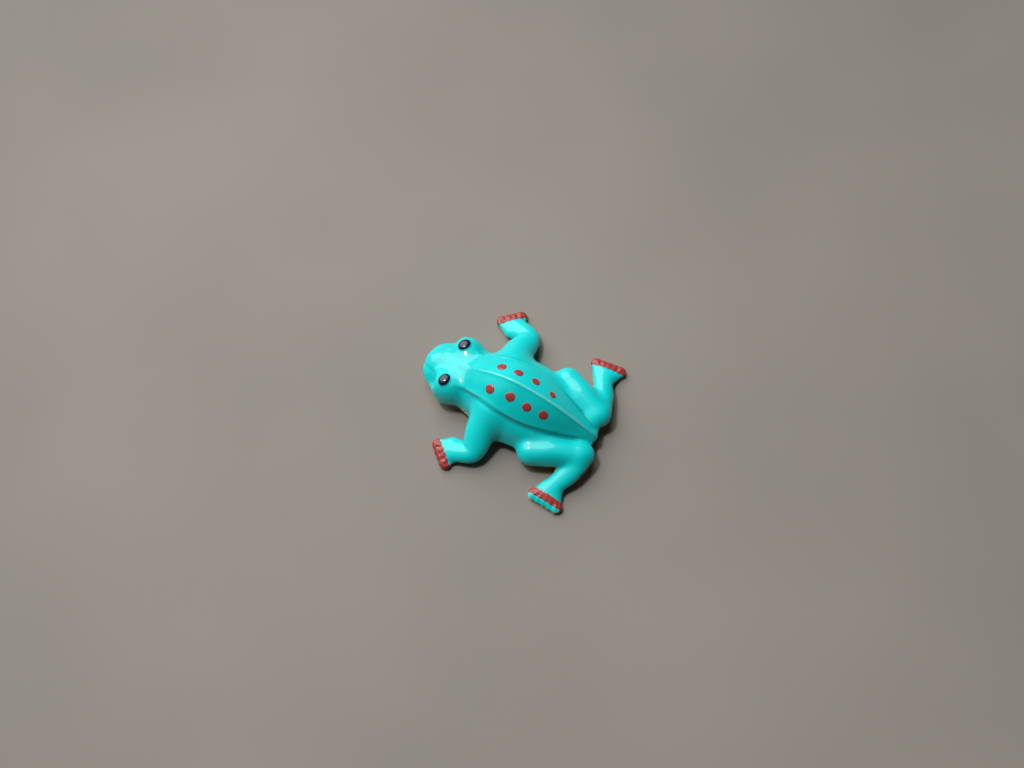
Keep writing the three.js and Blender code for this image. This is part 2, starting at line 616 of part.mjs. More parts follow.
// A flat strip spring, its foot on the great wheel and its free end behind the click.
function clickSpring() {
  const middle = new THREE.CatmullRomCurve3([
    [0.4, 3.9], [1.5, 3.4], [2.3, 2.5], [2.75, 1.75],
  ].map(([x, y]) => new THREE.Vector3(WINDING.x + x, WINDING.y + y, 0))).getPoints(8);
  const thickness = 0.12;
  const left = middle.map((point) => new THREE.Vector2(point.x + thickness, point.y + thickness));
  const right = middle.map((point) => new THREE.Vector2(point.x, point.y)).reverse();
  const z1 = greatLevel - RUN_GAP;
  const strip = plateSolid(new THREE.Shape([...left, ...right]), ratchetLevel, z1);
  const foot = disc(middle[0], 0.4, ratchetLevel + LEVEL_GAP, z1, 16);
  return strip.add(foot);
}

// Spiral mainspring, its outer end carried out to the front left pillar.
function mainspring() {
  const turns = 6;
  const perTurn = 12;
  const thickness = 0.14;
  const inner = WINDING_RADIUS + PART_GAP;
  const outer = greatRadius - 1.1;
  const tail = pillarReach - PILLAR_RADIUS - PART_GAP - thickness;
  const end = Math.PI / 4;
  const count = turns * perTurn;
  const middle = [];
  for (let index = 0; index <= count; index += 1) {
    const angle = end - 2 * Math.PI * (count - index) / perTurn;
    const swing = Math.max(0, 1 - (count - index) / (perTurn / 4));
    const radius = THREE.MathUtils.lerp(inner, outer, index / count) + swing * (tail - outer);
    middle.push({ angle, radius });
  }
  const outside = middle.map(({ angle, radius }) => polar(WINDING, radius + thickness, angle));
  const inside = middle.map(({ angle, radius }) => polar(WINDING, radius, angle)).reverse();
  const band = new THREE.Shape([...outside, ...inside]);
  return plateSolid(band, springLevel, springLevel + SPRING_HEIGHT);
}

function secondWheel() {
  const top = kickLevel + WHEEL_THICKNESS;
  const wheel = gear(SECOND, SECOND_TEETH, CAM_BEARING, kickLevel, top);
  const windows = [0, 1, 2, 3].map((index) => disc(
    polar(SECOND, secondRadius * 0.5, CAM_BEARING + (index + 0.5) * Math.PI / 2), SECOND_WINDOW,
    kickLevel - 1, top + 1));
  return cut(wheel, ...windows, disc(SECOND, ARBOR_RADIUS + RUN_GAP, kickLevel - 1, top + 1));
}

// The face cam: a flange with a skirt that deepens round the turn and ends in a cliff.
function faceCam() {
  const base = ratchetLevel - PART_GAP;
  const flangeZ = base + CAM_RISE;
  const sweep = 2 * Math.PI - CAM_GAP_ANGLE;
  const steps = 20;
  const innerRadius = CAM_RADIUS - 1.6;
  const sections = [];
  for (let step = 0; step <= steps; step += 1) {
    const share = step / steps;
    const angle = Math.PI - CAM_GAP_ANGLE / 2 - sweep * share;
    const low = THREE.MathUtils.lerp(flangeZ - 0.05, base, share);
    const corners = [[innerRadius, low], [CAM_RADIUS, low],
      [CAM_RADIUS, flangeZ + 0.1], [innerRadius, flangeZ + 0.1]];
    sections.push(corners.map(([radius, z]) => {
      const at = polar(CAM, radius, angle);
      return new THREE.Vector3(at.x, at.y, z);
    }));
  }
  const skirt = solid(new LoftGeometry(sections, { closed: true, capStart: true, capEnd: true }));
  const flange = disc(CAM, CAM_RADIUS, flangeZ, flangeZ + CAM_FLANGE, 32);
  const hub = disc(CAM, ARBOR_RADIUS * 2, base + PART_GAP, flangeZ + CAM_FLANGE + LEVEL_GAP);
  return cut(join(flange, skirt, hub), disc(CAM, ARBOR_RADIUS + RUN_GAP, 0, upperPlateZ));
}

// ---------------------------------------------------------------- kicker
const kickFootZ = KICK_FOOT.top - KICK_SHEET / 2;

function kickLever() {
  const { x, z } = kickPivot;
  const fingerSide = [CAM.y - KICK_FINGER / 2, CAM.y + KICK_FINGER / 2];
  const hub = crossRod(x, z, KICK_HUB, fingerSide[0], 0.4);
  const finger = box(x, x + KICK_REACH, fingerSide[0], fingerSide[1],
    z - KICK_SHEET / 2, z + KICK_SHEET / 2);
  const heelX = x - KICK_FOOT.drop;
  const run = Math.hypot(heelX - x, kickFootZ - z);
  const riserGeometry = new THREE.BoxGeometry(run, KICK_RISER_WIDTH, KICK_SHEET);
  riserGeometry.rotateY(Math.atan2(z - kickFootZ, x - heelX) * -1);
  riserGeometry.translate((x + heelX) / 2, 0, (z + kickFootZ) / 2);
  const shoulder = box(x - 2 * KICK_HUB, x + 2 * KICK_HUB, 0.4 + PART_GAP, KICK_RISER_WIDTH,
    z - KICK_HUB - 2 * WIRE, z + KICK_HUB);
  const riser = solid(riserGeometry).subtract(shoulder);
  const tip = KICK_FOOT.width / 2;
  const sole = new THREE.Shape();
  sole.moveTo(heelX, -KICK_RISER_WIDTH / 2);
  sole.lineTo(heelX, KICK_RISER_WIDTH / 2);
  sole.lineTo(heelX - 1, tip);
  sole.lineTo(heelX - KICK_FOOT.length + tip, tip);
  sole.absarc(heelX - KICK_FOOT.length + tip, 0, tip, Math.PI / 2, 3 * Math.PI / 2, false);
  sole.lineTo(heelX - 1, -tip);
  const foot = plateSolid(sole, KICK_FOOT.top - KICK_SHEET, KICK_FOOT.top);
  const corner = crossRod(heelX, kickFootZ, KICK_SHEET / 2, -KICK_RISER_WIDTH / 2,
    KICK_RISER_WIDTH / 2, 16);
  return cut(join(hub, finger, riser, corner, foot), crossRod(x, z, KICK_PIN + RUN_GAP, -4, 4));
}

function kickerPin() {
  const end = EAR.side + EAR.thickness + PIN_END;
  return crossRod(kickPivot.x, kickPivot.z, KICK_PIN, -end, end);
}

// Torsion spring round the pin: one leg on the lower plate, the other behind the lever.
function kickSpring() {
  const { x, z } = kickPivot;
  const coil = KICK_PIN + RUN_GAP + 2 * WIRE;
  const turns = 3.5;
  const start = 0.75;
  const finish = EAR.side - PART_GAP - WIRE;
  const points = [
    new THREE.Vector3(x - 1.15, start, z - 0.5),
    new THREE.Vector3(x - 1.05, start, z + 0.2),
    new THREE.Vector3(x - 0.6, start, z + coil * 0.85),
  ];
  const count = turns * 12;
  for (let index = 0; index <= count; index += 1) {
    const angle = Math.PI / 2 - 2 * Math.PI * index / 12;
    const side = THREE.MathUtils.lerp(start, finish, index / count);
    points.push(new THREE.Vector3(x + coil * Math.cos(angle), side, z + coil * Math.sin(angle)));
  }
  return wire(points, WIRE, 44);
}

function wire(points, radius, steps) {
  const section = new THREE.Shape();
  section.absarc(0, 0, radius, 0, 2 * Math.PI, false);
  const path = new THREE.CatmullRomCurve3(points);
  return solid(new THREE.ExtrudeGeometry(section, { extrudePath: path, steps, curveSegments: 3 }));
}

// ---------------------------------------------------------------- key
function keyHead() {
  const { radius, bottom, top } = KEY_HEAD;
  const slotHalf = KEY_BOW.thickness / 2 + PART_GAP;
  const slot = box(WINDING.x - radius, WINDING.x + 2 * radius, -slotHalf, slotHalf, 0,
    keyPinZ + KEY_BOW.thickness / 2 + 0.25);
  const post = turned(WINDING, [[0, bottom], [radius, bottom], [radius, top - 0.2],
    [WINDING_RADIUS, top], [0, top]]);
  return cut(post, slot, crossRod(WINDING.x, keyPinZ, KEY_PIN + RUN_GAP, -4, 4));
}

function keyPin() {
  return crossRod(WINDING.x, keyPinZ, KEY_PIN, -KEY_HEAD.radius, KEY_HEAD.radius);
}

// The bow: a narrow tongue in the fork and two finger lobes, each with a hole.
function keyBow() {
  const { thickness, reach, half, neck } = KEY_BOW;
  const lobe = half / 2;
  const shape = new THREE.Shape();
  shape.moveTo(neck, -half * 0.55);
  shape.lineTo(neck, half * 0.55);
  shape.absarc(reach - lobe - 0.1, half - lobe, lobe, Math.PI * 0.75, -Math.PI * 0.12, true);
  shape.absarc(reach - lobe - 0.1, lobe - half, lobe, Math.PI * 0.12, -Math.PI * 0.75, true);
  shape.closePath();
  const z0 = keyPinZ - thickness / 2;
  const plate = plateSolid(shape, z0, z0 + thickness);
  const holes = [1, -1].map((hand) => disc(
    { x: reach - lobe - 0.1, y: hand * (half - lobe) }, lobe * 0.48, z0 - 1, z0 + thickness + 1, 20));
  const tongue = box(0, neck + 0.3, -thickness / 2, thickness / 2, z0, z0 + thickness);
  const knuckle = crossRod(0, keyPinZ, thickness / 2, -thickness / 2, thickness / 2);
  return cut(join(cut(plate, ...holes), tongue, knuckle),
    crossRod(0, keyPinZ, KEY_PIN + RUN_GAP, -2, 2)).translate([WINDING.x, WINDING.y, 0]);
}

// ---------------------------------------------------------------- screws
function movementScrew(at) {
  const headTop = beltFloor - PART_GAP;
  const headZ = headTop - SCREW.headHeight;
  const end = lowerPlateTop + SCREW.rise - RUN_GAP;
  const body = turned(at, [
    [0, headZ], [SCREW.head * 0.8, headZ], [SCREW.head, headZ + 0.15], [SCREW.head, headTop],
    [SCREW.shank, headTop], [SCREW.shank, end - 0.1], [SCREW.shank - 0.1, end], [0, end],
  ]);
  const half = SCREW.slot / 2;
  return cut(body, box(at.x - 2, at.x + 2, at.y - half, at.y + half, headZ - 1, headZ + 0.2));
}

// ---------------------------------------------------------------- assembly
const frog = new THREE.Group();

function addPart(name, body, material) {
  const mesh = new THREE.Mesh(toGeometry(body), material);
  mesh.name = name;
  frog.add(mesh);
}

addPart('top_shell', topShell(), TURQUOISE_ENAMEL);
addPart('belly_shell', bellyShell(), YELLOW_ENAMEL);
addPart('movement_lower_plate', lowerPlate(), BRASS);
addPart('movement_upper_plate', upperPlate(), BRASS);
PILLARS.forEach((at) => addPart(at.name, pillar(at), STEEL));
SCREWS.forEach((at) => addPart(at.name, movementScrew(at), STEEL));
addPart('mainspring', mainspring(), SPRING_STEEL);
addPart('winding_arbor', windingArbor(), STEEL);
addPart('ratchet_wheel', ratchetWheel(), STEEL);
addPart('great_wheel', greatWheel(), BRASS);
addPart('click', click(), STEEL);
addPart('click_rivet', clickRivet(), STEEL);
addPart('click_spring', clickSpring(), SPRING_STEEL);
addPart('second_arbor', pinionArbor(SECOND, SECOND_BEARING + Math.PI, greatLevel - PART_GAP,
  greatLevel + WHEEL_THICKNESS + PART_GAP), STEEL);
addPart('second_wheel', secondWheel(), BRASS);
addPart('cam_arbor', pinionArbor(CAM, CAM_BEARING + Math.PI, kickLevel - PART_GAP,
  kickLevel + WHEEL_THICKNESS + RUN_GAP), STEEL);
addPart('face_cam', faceCam(), BRASS);
addPart('kick_lever', kickLever(), NICKEL);
addPart('kicker_pin', kickerPin(), STEEL);
addPart('kick_spring', kickSpring(), SPRING_STEEL);
addPart('key_head', keyHead(), NICKEL);
addPart('key_pin', keyPin(), STEEL);
addPart('key_bow', keyBow(), NICKEL);

// The origin is under the middle of the frog, on the ground it stands on.
const extent = new THREE.Box3().setFromObject(frog);
const middle = extent.getCenter(new THREE.Vector3());
frog.position.set(-middle.x, -middle.y, -extent.min.z);

export default frog;
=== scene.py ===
"""Looks of a small tin wind-up jumping frog: pressed skins, enamel paintwork and the clockwork under them."""

import logging
import math
from collections.abc import Callable
from dataclasses import dataclass, field
from enum import Enum

import bmesh
import bpy
import numpy as np
from mathutils import Matrix, Vector


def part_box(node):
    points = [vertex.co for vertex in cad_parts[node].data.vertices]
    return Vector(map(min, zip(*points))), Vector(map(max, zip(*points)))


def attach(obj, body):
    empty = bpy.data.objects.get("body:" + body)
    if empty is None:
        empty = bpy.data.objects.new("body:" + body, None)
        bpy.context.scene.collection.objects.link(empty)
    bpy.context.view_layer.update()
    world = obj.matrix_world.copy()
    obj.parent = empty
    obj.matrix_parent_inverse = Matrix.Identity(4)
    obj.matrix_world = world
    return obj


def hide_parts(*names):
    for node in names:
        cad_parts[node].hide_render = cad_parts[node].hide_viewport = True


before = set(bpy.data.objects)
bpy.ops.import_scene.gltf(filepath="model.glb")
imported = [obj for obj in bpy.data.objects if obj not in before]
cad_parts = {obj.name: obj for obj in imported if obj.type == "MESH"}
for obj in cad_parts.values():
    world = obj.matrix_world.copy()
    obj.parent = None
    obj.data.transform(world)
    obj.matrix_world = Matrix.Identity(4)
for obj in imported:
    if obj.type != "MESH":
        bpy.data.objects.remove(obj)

LOG = logging.getLogger("frog")
MM = 0.001
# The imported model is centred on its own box, this far back from where the winding arbor was drawn at x = 4.
DRAWN_WINDING_X = 4.0
# A slope is measured this many lattice steps to each side.
SLOPE_REACH = 0.8
SETTLE_ROUNDS = 3
EASE_ROUNDS = 3
# The most that easing moves a vertex, in lattice steps.
EASE_MOST = 0.33

Array = np.ndarray
Distance = Callable[[Array, Array, Array], Array]


class Hand(Enum):
    """Which side of the frog a limb is on."""

    LEFT = 1.0
    RIGHT = -1.0


class Side(Enum):
    """Which side of the seam a skin is on."""

    BACK = 1.0
    BELLY = -1.0


# ------------------------------------------------------------------ small helpers
def linear(hex_colour: str) -> tuple[float, float, float, float]:
    """Turns an sRGB hex colour into the linear colour that shaders use.

    Args:
        hex_colour: Six hex digits, with or without a leading hash.

    Returns:
        Red, green, blue and full alpha.
    """
    digits = hex_colour.lstrip("#")
    channels = [int(digits[i : i + 2], 16) / 255 for i in (0, 2, 4)]
    red, green, blue = (
        c / 12.92 if c <= 0.04045 else ((c + 0.055) / 1.055) ** 2.4 for c in channels
    )
    return red, green, blue, 1.0


def add_node(
    tree: bpy.types.NodeTree,
    kind: str,
    settings: dict[str, object] | None = None,
    links: dict[str | int, object] | None = None,
) -> bpy.types.Node:
    """Adds one node with its settings and links.

    Args:
        tree: The node tree that gets the node.
        kind: Blender's name of the node type.
        settings: Attributes of the node, by name.
        links: For each input, by name or number, an output socket to link or a value to set.

    Returns:
        The new node.
    """
    node = tree.nodes.new(kind)
    for name, value in (settings or {}).items():
        setattr(node, name, value)
    for key, value in (links or {}).items():
        if isinstance(value, bpy.types.NodeSocket):
            tree.links.new(value, node.inputs[key])
        else:
            node.inputs[key].default_value = value
    return node


def ramp(node: bpy.types.Node, stops: list[tuple[float, tuple[float, ...]]]) -> bpy.types.Node:
    """Sets the stops of a colour ramp.

    Args:
        node: The colour ramp node.
        stops: Position and colour of each stop, in order.

    Returns:
        The same node.
    """
    elements = node.color_ramp.elements
    while len(elements) < len(stops):
        elements.new(0.5)
    for element, (place, colour) in zip(elements, stops):
        element.position, element.color = place, colour
    return node


def catmull(points: Array, count: int) -> Array:
    """Samples a uniform Catmull-Rom curve.

    Args:
        points: Knots, one row each.
        count: Samples between two knots.

    Returns:
        The samples, from the first knot to the last.
    """
    padded = np.vstack([2 * points[0] - points[1], points, 2 * points[-1] - points[-2]])
    rows = []
    for i in range(len(points) - 1):
        a, b, c, d = padded[i : i + 4]
        t = np.linspace(0, 1, count, endpoint=False)[:, None]
        rows.append(0.5 * (2 * b + (c - a) * t + (2 * a - 5 * b + 4 * c - d) * t**2
                           + (3 * b - a - 3 * c + d) * t**3))
    return np.vstack([*rows, points[-1][None]])


def smooth_min(a: Array, b: Array, radius: float) -> Array:
    """The union of two distances, filleted over about `radius`."""
    h = np.maximum(radius - np.abs(a - b), 0) / radius
    return np.minimum(a, b) - h * h * radius / 4


def smooth_max(a: Array, b: Array, radius: float) -> Array:
    """The common part of two distances, rounded over about `radius`."""
    return -smooth_min(-a, -b, radius)


# ------------------------------------------------------------------ distance fields
@dataclass
class Lattice:
    """An even block of sample points, in millimetres."""

    low: tuple[float, float, float]
    high: tuple[float, float, float]
    step: float

    def __post_init__(self) -> None:
        """Works out the sample places along each axis."""
        self.axes = [
            lo + self.step * np.arange(int(math.ceil((hi - lo) / self.step)) + 1)
            for lo, hi in zip(self.low, self.high)
        ]

    def window(self, low: Array, high: Array) -> tuple[slice, ...]:
        """Finds the samples between two corners.

        Args:
            low: The lowest corner.
            high: The highest corner.

        Returns:
            One slice for each axis.
        """
        return tuple(
            slice(int(np.searchsorted(a, lo)), int(np.searchsorted(a, hi)))
            for a, lo, hi in zip(self.axes, low, high)
        )

    def points(self, window: tuple[slice, ...] | None = None) -> tuple[Array, Array, Array]:
        """Coordinates of the samples, shaped so that they broadcast together."""
        x, y, z = (a[w] for a, w in zip(self.axes, window or (slice(None),) * 3))
        return x[:, None, None], y[None, :, None], z[None, None, :]


@dataclass
class Field:
    """Distances to a surface at the samples of a lattice."""

    lattice: Lattice
    values: Array

    def at(self, points: Array) -> Array:
        """Distances at free points, blended from the eight samples round each.

        Args:
            points: One row of x, y and z each.

        Returns:
            One distance for each point.
        """
        low, step = np.array(self.lattice.low), self.lattice.step
        place = (points - low) / step
        most = np.array(self.values.shape) - 2
        cell = np.clip(np.floor(place).astype(int), 0, most)
        f = np.clip(place - cell, 0, 1)
        total = np.zeros(len(points))
        for dx in (0, 1):
            for dy in (0, 1):
                for dz in (0, 1):
                    share = np.abs(1 - dx - f[:, 0]) * np.abs(1 - dy - f[:, 1]) * np.abs(1 - dz - f[:, 2])
                    total += share * self.values[cell[:, 0] + dx, cell[:, 1] + dy, cell[:, 2] + dz]
        return total

    def slope(self, points: Array) -> Array:
        """Measures the way out of the surface at free points.

        Args:
            points: One row of x, y and z each.

        Returns:
            One unit direction for each point.
        """
        reach = self.lattice.step * SLOPE_REACH
        rows = [self.at(points + reach * axis) - self.at(points - reach * axis) for axis in np.eye(3)]
        slope = np.stack(rows, 1)
        return slope / np.maximum(np.linalg.norm(slope, axis=1, keepdims=True), 1e-9)

    def bend(self) -> "Field":
        """Measures how sharply the surface bends, per millimetre.

        Returns:
            A field that is above nought on ridges and below it in hollows.
        """
        near = 2.0
        held = np.clip(self.values, -near, near)
        total = sum(np.gradient(np.gradient(held, axis=k), axis=k) for k in range(3)) / self.lattice.step**2
        for k in range(3):
            total = (np.roll(total, 1, k) + 2 * total + np.roll(total, -1, k)) / 4
        return Field(self.lattice, total)

    def settle(self, points: Array, level: float = 0.0) -> Array:
        """Moves points onto the surface at one distance.

        Args:
            points: One row of x, y and z each.
            level: The distance.

        Returns:
            The moved points.
        """
        for _ in range(SETTLE_ROUNDS):
            points = points - (self.at(points) - level)[:, None] * self.slope(points)
        return points


def net(lattice: Lattice, values: Array) -> tuple[Array, Array]:
    """Draws the closed surface where a field is nought, as a net of four-sided faces.

    Args:
        lattice: Where the samples are.
        values: The field, below nought inside.

    Returns:
        Vertices in millimetres, and the four corners of each face.
    """
    cells = tuple(n - 1 for n in values.shape)
    total = np.zeros((int(np.prod(cells)), 3))
    hits = np.zeros(len(total))
    faces = []
    for axis in range(3):
        ahead = [slice(None)] * 3
        behind = [slice(None)] * 3
        ahead[axis], behind[axis] = slice(1, None), slice(None, -1)
        a, b = values[tuple(behind)], values[tuple(ahead)]
        place = np.argwhere((a < 0) != (b < 0))
        here, there = a[tuple(place.T)], b[tuple(place.T)]
        spot = place.astype(float)
        spot[:, axis] += here / (here - there)
        u, v = (axis + 1) % 3, (axis + 2) % 3
        inner = np.all((place[:, [u, v]] > 0) & (place[:, [u, v]] < [cells[u], cells[v]]), axis=1)
        place, spot, here = place[inner], spot[inner], here[inner]
        around = []
        for du, dv in ((0, 0), (-1, 0), (-1, -1), (0, -1)):
            cell = place.copy()
            cell[:, u] += du
            cell[:, v] += dv
            flat = np.ravel_multi_index(tuple(cell.T), cells)
            around.append(flat)
            hits += np.bincount(flat, minlength=len(hits))
            for k in range(3):
                total[:, k] += np.bincount(flat, weights=spot[:, k], minlength=len(hits))
        quads = np.stack(around, 1)
        faces.append(np.where((here < 0)[:, None], quads, quads[:, ::-1]))
    used = np.flatnonzero(hits)
    order = np.full(len(hits), -1)
    order[used] = np.arange(len(used))
    corners = order[np.vstack(faces)]
    return np.array(lattice.low) + lattice.step * eased(total[used] / hits[used, None], corners), corners


def eased(vertices: Array, corners: Array) -> Array:
    """Evens out the ripple that a net keeps from its lattice.

    Args:
        vertices: Places in steps of the lattice.
        corners: The four corners of each face.

    Returns:
        The vertices, each moved at most a third of a step.
    """
    start = vertices
    count = np.bincount(corners.ravel(), minlength=len(vertices))[:, None] * 2
    for _ in range(EASE_ROUNDS):
        total = np.zeros_like(vertices)
        for turn in (1, -1):
            beside = vertices[np.roll(corners, turn, 1).ravel()]
            for k in range(3):
                total[:, k] += np.bincount(corners.ravel(), weights=beside[:, k], minlength=len(vertices))
        vertices = 0.5 * vertices + 0.5 * total / count
    return start + np.clip(vertices - start, -EASE_MOST, EASE_MOST)


# ------------------------------------------------------------------ outer form of the frog
@dataclass(frozen=True)
class Former:
    """One cross-section of the body, in millimetres."""

    x: float
    crest: float
    fold_y: float
    fold_z: float
    side: float
    side_z: float
    floor: float


@dataclass(frozen=True)
class Girth:
    """One oval section of a limb, in millimetres."""

    x: float
    y: float
    z: float
    wide: float
    high: float


@dataclass(frozen=True)
class Foot:
    """A webbed foot: a fan from the heel to a row of toes."""

    x: float
    y: float
    turn: float
    length: float
    heel: float
    width: float
    toes: int
    paint_left: tuple[float, float]
    paint_right: tuple[float, float]
    rounding: float = 0.55
    # The pad's top is highest at the heel and falls towards the toes.
    heel_top: float = 1.75
    top_fall: float = 0.06
    # The bones start close together at the heel and fan out to the toes.
    bone: float = 0.62
    bone_from: float = 0.6
    bone_past: float = 0.2
    bone_gather: float = 0.3
    bone_z: tuple[float, float] = (1.25, 1.2)
    # A groove is pressed into the web between each two toes.
    web: float = 0.22
    web_long: float = 2.6
    web_gather: float = 0.62
    web_z: tuple[float, float] = (1.95, 1.9)
    toe_blend: float = 0.25
    blend: float = 0.3
    # Each toe's radius, as a share of half of what one toe would have side by side.
    overlap: float = 1.6

    @property
    def pitch(self) -> float:
        """Distance between the middles of two toes."""
        return (self.width - 2 * self.toe) / (self.toes - 1)

    @property
    def toe(self) -> float:
        """Radius of one toe, which overlaps the next."""
        return self.overlap * self.width / 2 / self.toes

    @property
    def toe_x(self) -> float:
        """How far from the heel the middles of the toes are."""
        return self.length - self.toe

    def local(self, x: Array, y: Array) -> tuple[Array, Array]:
        """Turns places on the ground into places on the foot.

        Args:
            x: Place along the frog.
            y: Place across it.

        Returns:
            Distance along the foot from its heel, and distance across it.
        """
        angle = math.radians(self.turn)
        dx, dy = x - self.x, y - self.y
        along = dx * math.cos(angle) + dy * math.sin(angle)
        return along, dy * math.cos(angle) - dx * math.sin(angle)

    def middles(self) -> Array:
        """Where each toe is across the foot."""
        return self.pitch * (np.arange(self.toes) - (self.toes - 1) / 2)


@dataclass
class FrogForm:
    """The outside of the frog as one distance field, in the millimetres it is drawn in."""

    formers: tuple[Former, ...] = (
        Former(-19.9, 4.0, 0.5, 3.7, 0.9, 3.1, 2.8),
        Former(-19.2, 4.8, 1.0, 4.2, 2.6, 3.1, 2.5),
        Former(-17.2, 6.3, 1.6, 5.2, 4.8, 3.0, 2.3),
        Former(-13.5, 8.9, 3.2, 6.4, 7.2, 3.0, 2.3),
        Former(-9.3, 11.4, 4.9, 7.8, 9.0, 3.0, 2.3),
        Former(-4.3, 13.2, 6.2, 9.2, 10.1, 3.0, 2.3),
        Former(0.5, 14.0, 6.3, 10.2, 10.3, 3.0, 2.3),
        Former(4.5, 13.2, 5.6, 10.2, 9.4, 3.0, 2.3),
        Former(8.3, 11.4, 4.9, 9.2, 8.0, 3.0, 2.3),
        Former(11.6, 9.4, 4.2, 7.8, 7.3, 3.0, 2.3),
        Former(14.8, 8.0, 4.2, 6.8, 8.1, 3.0, 2.3),
        Former(18.0, 6.9, 3.0, 5.8, 6.2, 3.1, 2.4),
        Former(20.4, 6.2, 2.4, 5.4, 5.0, 3.3, 2.6),
        Former(22.0, 5.2, 1.5, 4.8, 3.1, 3.4, 2.8),
        Former(22.5, 4.2, 0.4, 4.0, 0.6, 3.5, 3.2),
    )
    arm: tuple[Girth, ...] = (
        Girth(3.2, 6.2, 6.2, 3.9, 3.2),
        Girth(3.4, 10.2, 4.3, 3.4, 2.6),
        Girth(3.1, 14.4, 2.4, 2.7, 2.1),
        Girth(5.1, 15.8, 1.9, 2.5, 1.8),
        Girth(7.4, 16.0, 1.5, 2.6, 1.3),
    )
    thigh: tuple[Girth, ...] = (
        Girth(-8.4, 9.2, 3.2, 3.2, 3.0),
        Girth(-12.8, 7.4, 3.3, 3.1, 3.2),
        Girth(-17.7, 5.4, 3.2, 2.9, 2.7),
    )
    shank: tuple[Girth, ...] = (
        Girth(-18.4, 5.0, 3.2, 3.1, 2.4),
        Girth(-17.9, 9.2, 2.5, 2.7, 2.0),
        Girth(-16.5, 12.8, 1.8, 2.2, 1.5),
        Girth(-15.8, 15.2, 1.3, 2.6, 1.2),
    )
    front_foot: Foot = Foot(6.7, 15.3, 48, 5.1, 4.4, 7.1, 4, (-0.75, 1.4), (-0.75, 1.4))
    hind_foot: Foot = Foot(-16.2, 13.1, 85, 5.5, 3.8, 8.2, 5, (-1.45, 0.3), (-0.8, 1.3))
    arm_forward: float = 1.1
    hind_forward: float = 1.0
    eye_mound: tuple[float, ...] = (14.6, 4.6, 4.9)
    eye_radii: tuple[float, ...] = (3.8, 3.4, 3.6)
    snout_dent: tuple[float, ...] = (18.9, 5.6, 5.6)
    snout_dent_radius: float = 1.4
    crest_bead: float = 0.22
    crest_sink: float = 0.1
    crest_from: float = -19.4
    crest_to: float = 11.5
    fold_bead: float = 0.07
    fold_sink: float = 0.08
    fold_from: float = -17.5
    fold_to: float = 10.5
    # The groove under each fold: its radius, and how far outside and below the fold it runs.
    fold_groove: float = 0.62
    groove_out: float = 0.85
    groove_down: float = 0.62
    # A bead thins out over its last few points, to this share of its radius.
    taper_points: float = 6.0
    thin_end: float = 0.25
    # Knots of the cross-section, as shares of the way down and out: back, flank and belly.
    back_knot: tuple[float, float] = (0.5, 0.42)
    flank_knots: tuple[tuple[float, float], ...] = ((0.0, 0.0), (0.1, 0.16), (0.64, 0.5), (1.0, 1.0))
    belly_knots: tuple[tuple[float, float], ...] = ((0.95, 0.66), (0.8, 1.0), (0.0, 1.0))
    # Fillets where the parts run into each other.
    crest_fillet: float = 0.35
    fold_fillet: float = 0.5
    groove_fillet: float = 0.9
    eye_fillet: float = 2.0
    dent_fillet: float = 1.6
    arm_fillet: float = 1.7
    thigh_fillet: float = 1.3
    joint_fillet: float = 0.9
    # Room round the frog, and the heights over which it is sampled.
    room: tuple[float, float] = (23.4, 22.4)
    heights: tuple[float, float] = (-1.0, 15.2)
    # Bounds on a blended field's steepness, by which it is brought back to scale.
    steepness: tuple[float, float] = (0.6, 3.0)

    def rails(self) -> Array:
        """Former sizes at close steps along the frog, one row each, in the order of a former."""
        rows = np.array([list(vars(f).values()) for f in self.formers])
        return catmull(rows, 16)

    def outline(self, row: Array) -> Array:
        """Half the cross-section from the crest round to the middle of the belly.

        Args:
            row: The sizes of one former.

        Returns:
            Points of y and z.
        """
        _, crest, fold_y, fold_z, side, side_z, floor = row
        out, down = self.back_knot
        back = [(0, crest), (fold_y * out, crest + (fold_z - crest) * down), (fold_y, fold_z)]
        flank = [(fold_y + (side - fold_y) * out, fold_z + (side_z - fold_z) * down)
                 for out, down in self.flank_knots]
        belly = [(side * out, side_z + (floor - side_z) * down) for out, down in self.belly_knots]
        return np.vstack([catmull(np.array(back), 4)[:-1], catmull(np.array(flank + belly), 4)])

    def body(self, lattice: Lattice) -> Array:
        """Distance to the trunk and head alone, measured in cross-sections.

        Args:
            lattice: Where the samples are.

        Returns:
            The field over the whole lattice.
        """
        rails = self.rails()
        x, y, z = lattice.axes
        across, inverse = np.unique(np.round(np.abs(y), 6), return_inverse=True)
        held = np.clip(x, rails[0, 0], rails[-1, 0])
        sizes = np.stack([np.interp(held, rails[:, 0], rails[:, k]) for k in range(7)], 1)
        lines = np.stack([self.outline(row) for row in sizes])
        yy, zz = across[None, :, None], z[None, None, :]
        nearest = np.full((len(x), len(across), len(z)), 1e6)
        inside = np.zeros(nearest.shape, bool)
        for i in range(lines.shape[1] - 1):
            ay, az = lines[:, i, 0][:, None, None], lines[:, i, 1][:, None, None]
            by, bz = lines[:, i + 1, 0][:, None, None], lines[:, i + 1, 1][:, None, None]
            ey, ez = by - ay, bz - az
            t = np.clip(((yy - ay) * ey + (zz - az) * ez) / np.maximum(ey**2 + ez**2, 1e-9), 0, 1)
            nearest = np.minimum(nearest, (yy - ay - t * ey) ** 2 + (zz - az - t * ez) ** 2)
            steep = np.where(np.abs(ez) < 1e-9, 1e-9, ez)
            inside ^= ((az > zz) != (bz > zz)) & (yy < ay + (zz - az) / steep * ey)
        flat = np.where(inside, -1.0, 1.0) * np.sqrt(nearest)
        past = np.abs(x - held)[:, None, None]
        ended = np.where(past > 0, np.hypot(np.maximum(flat, 0), past), flat)
        return ended[:, inverse.ravel(), :]

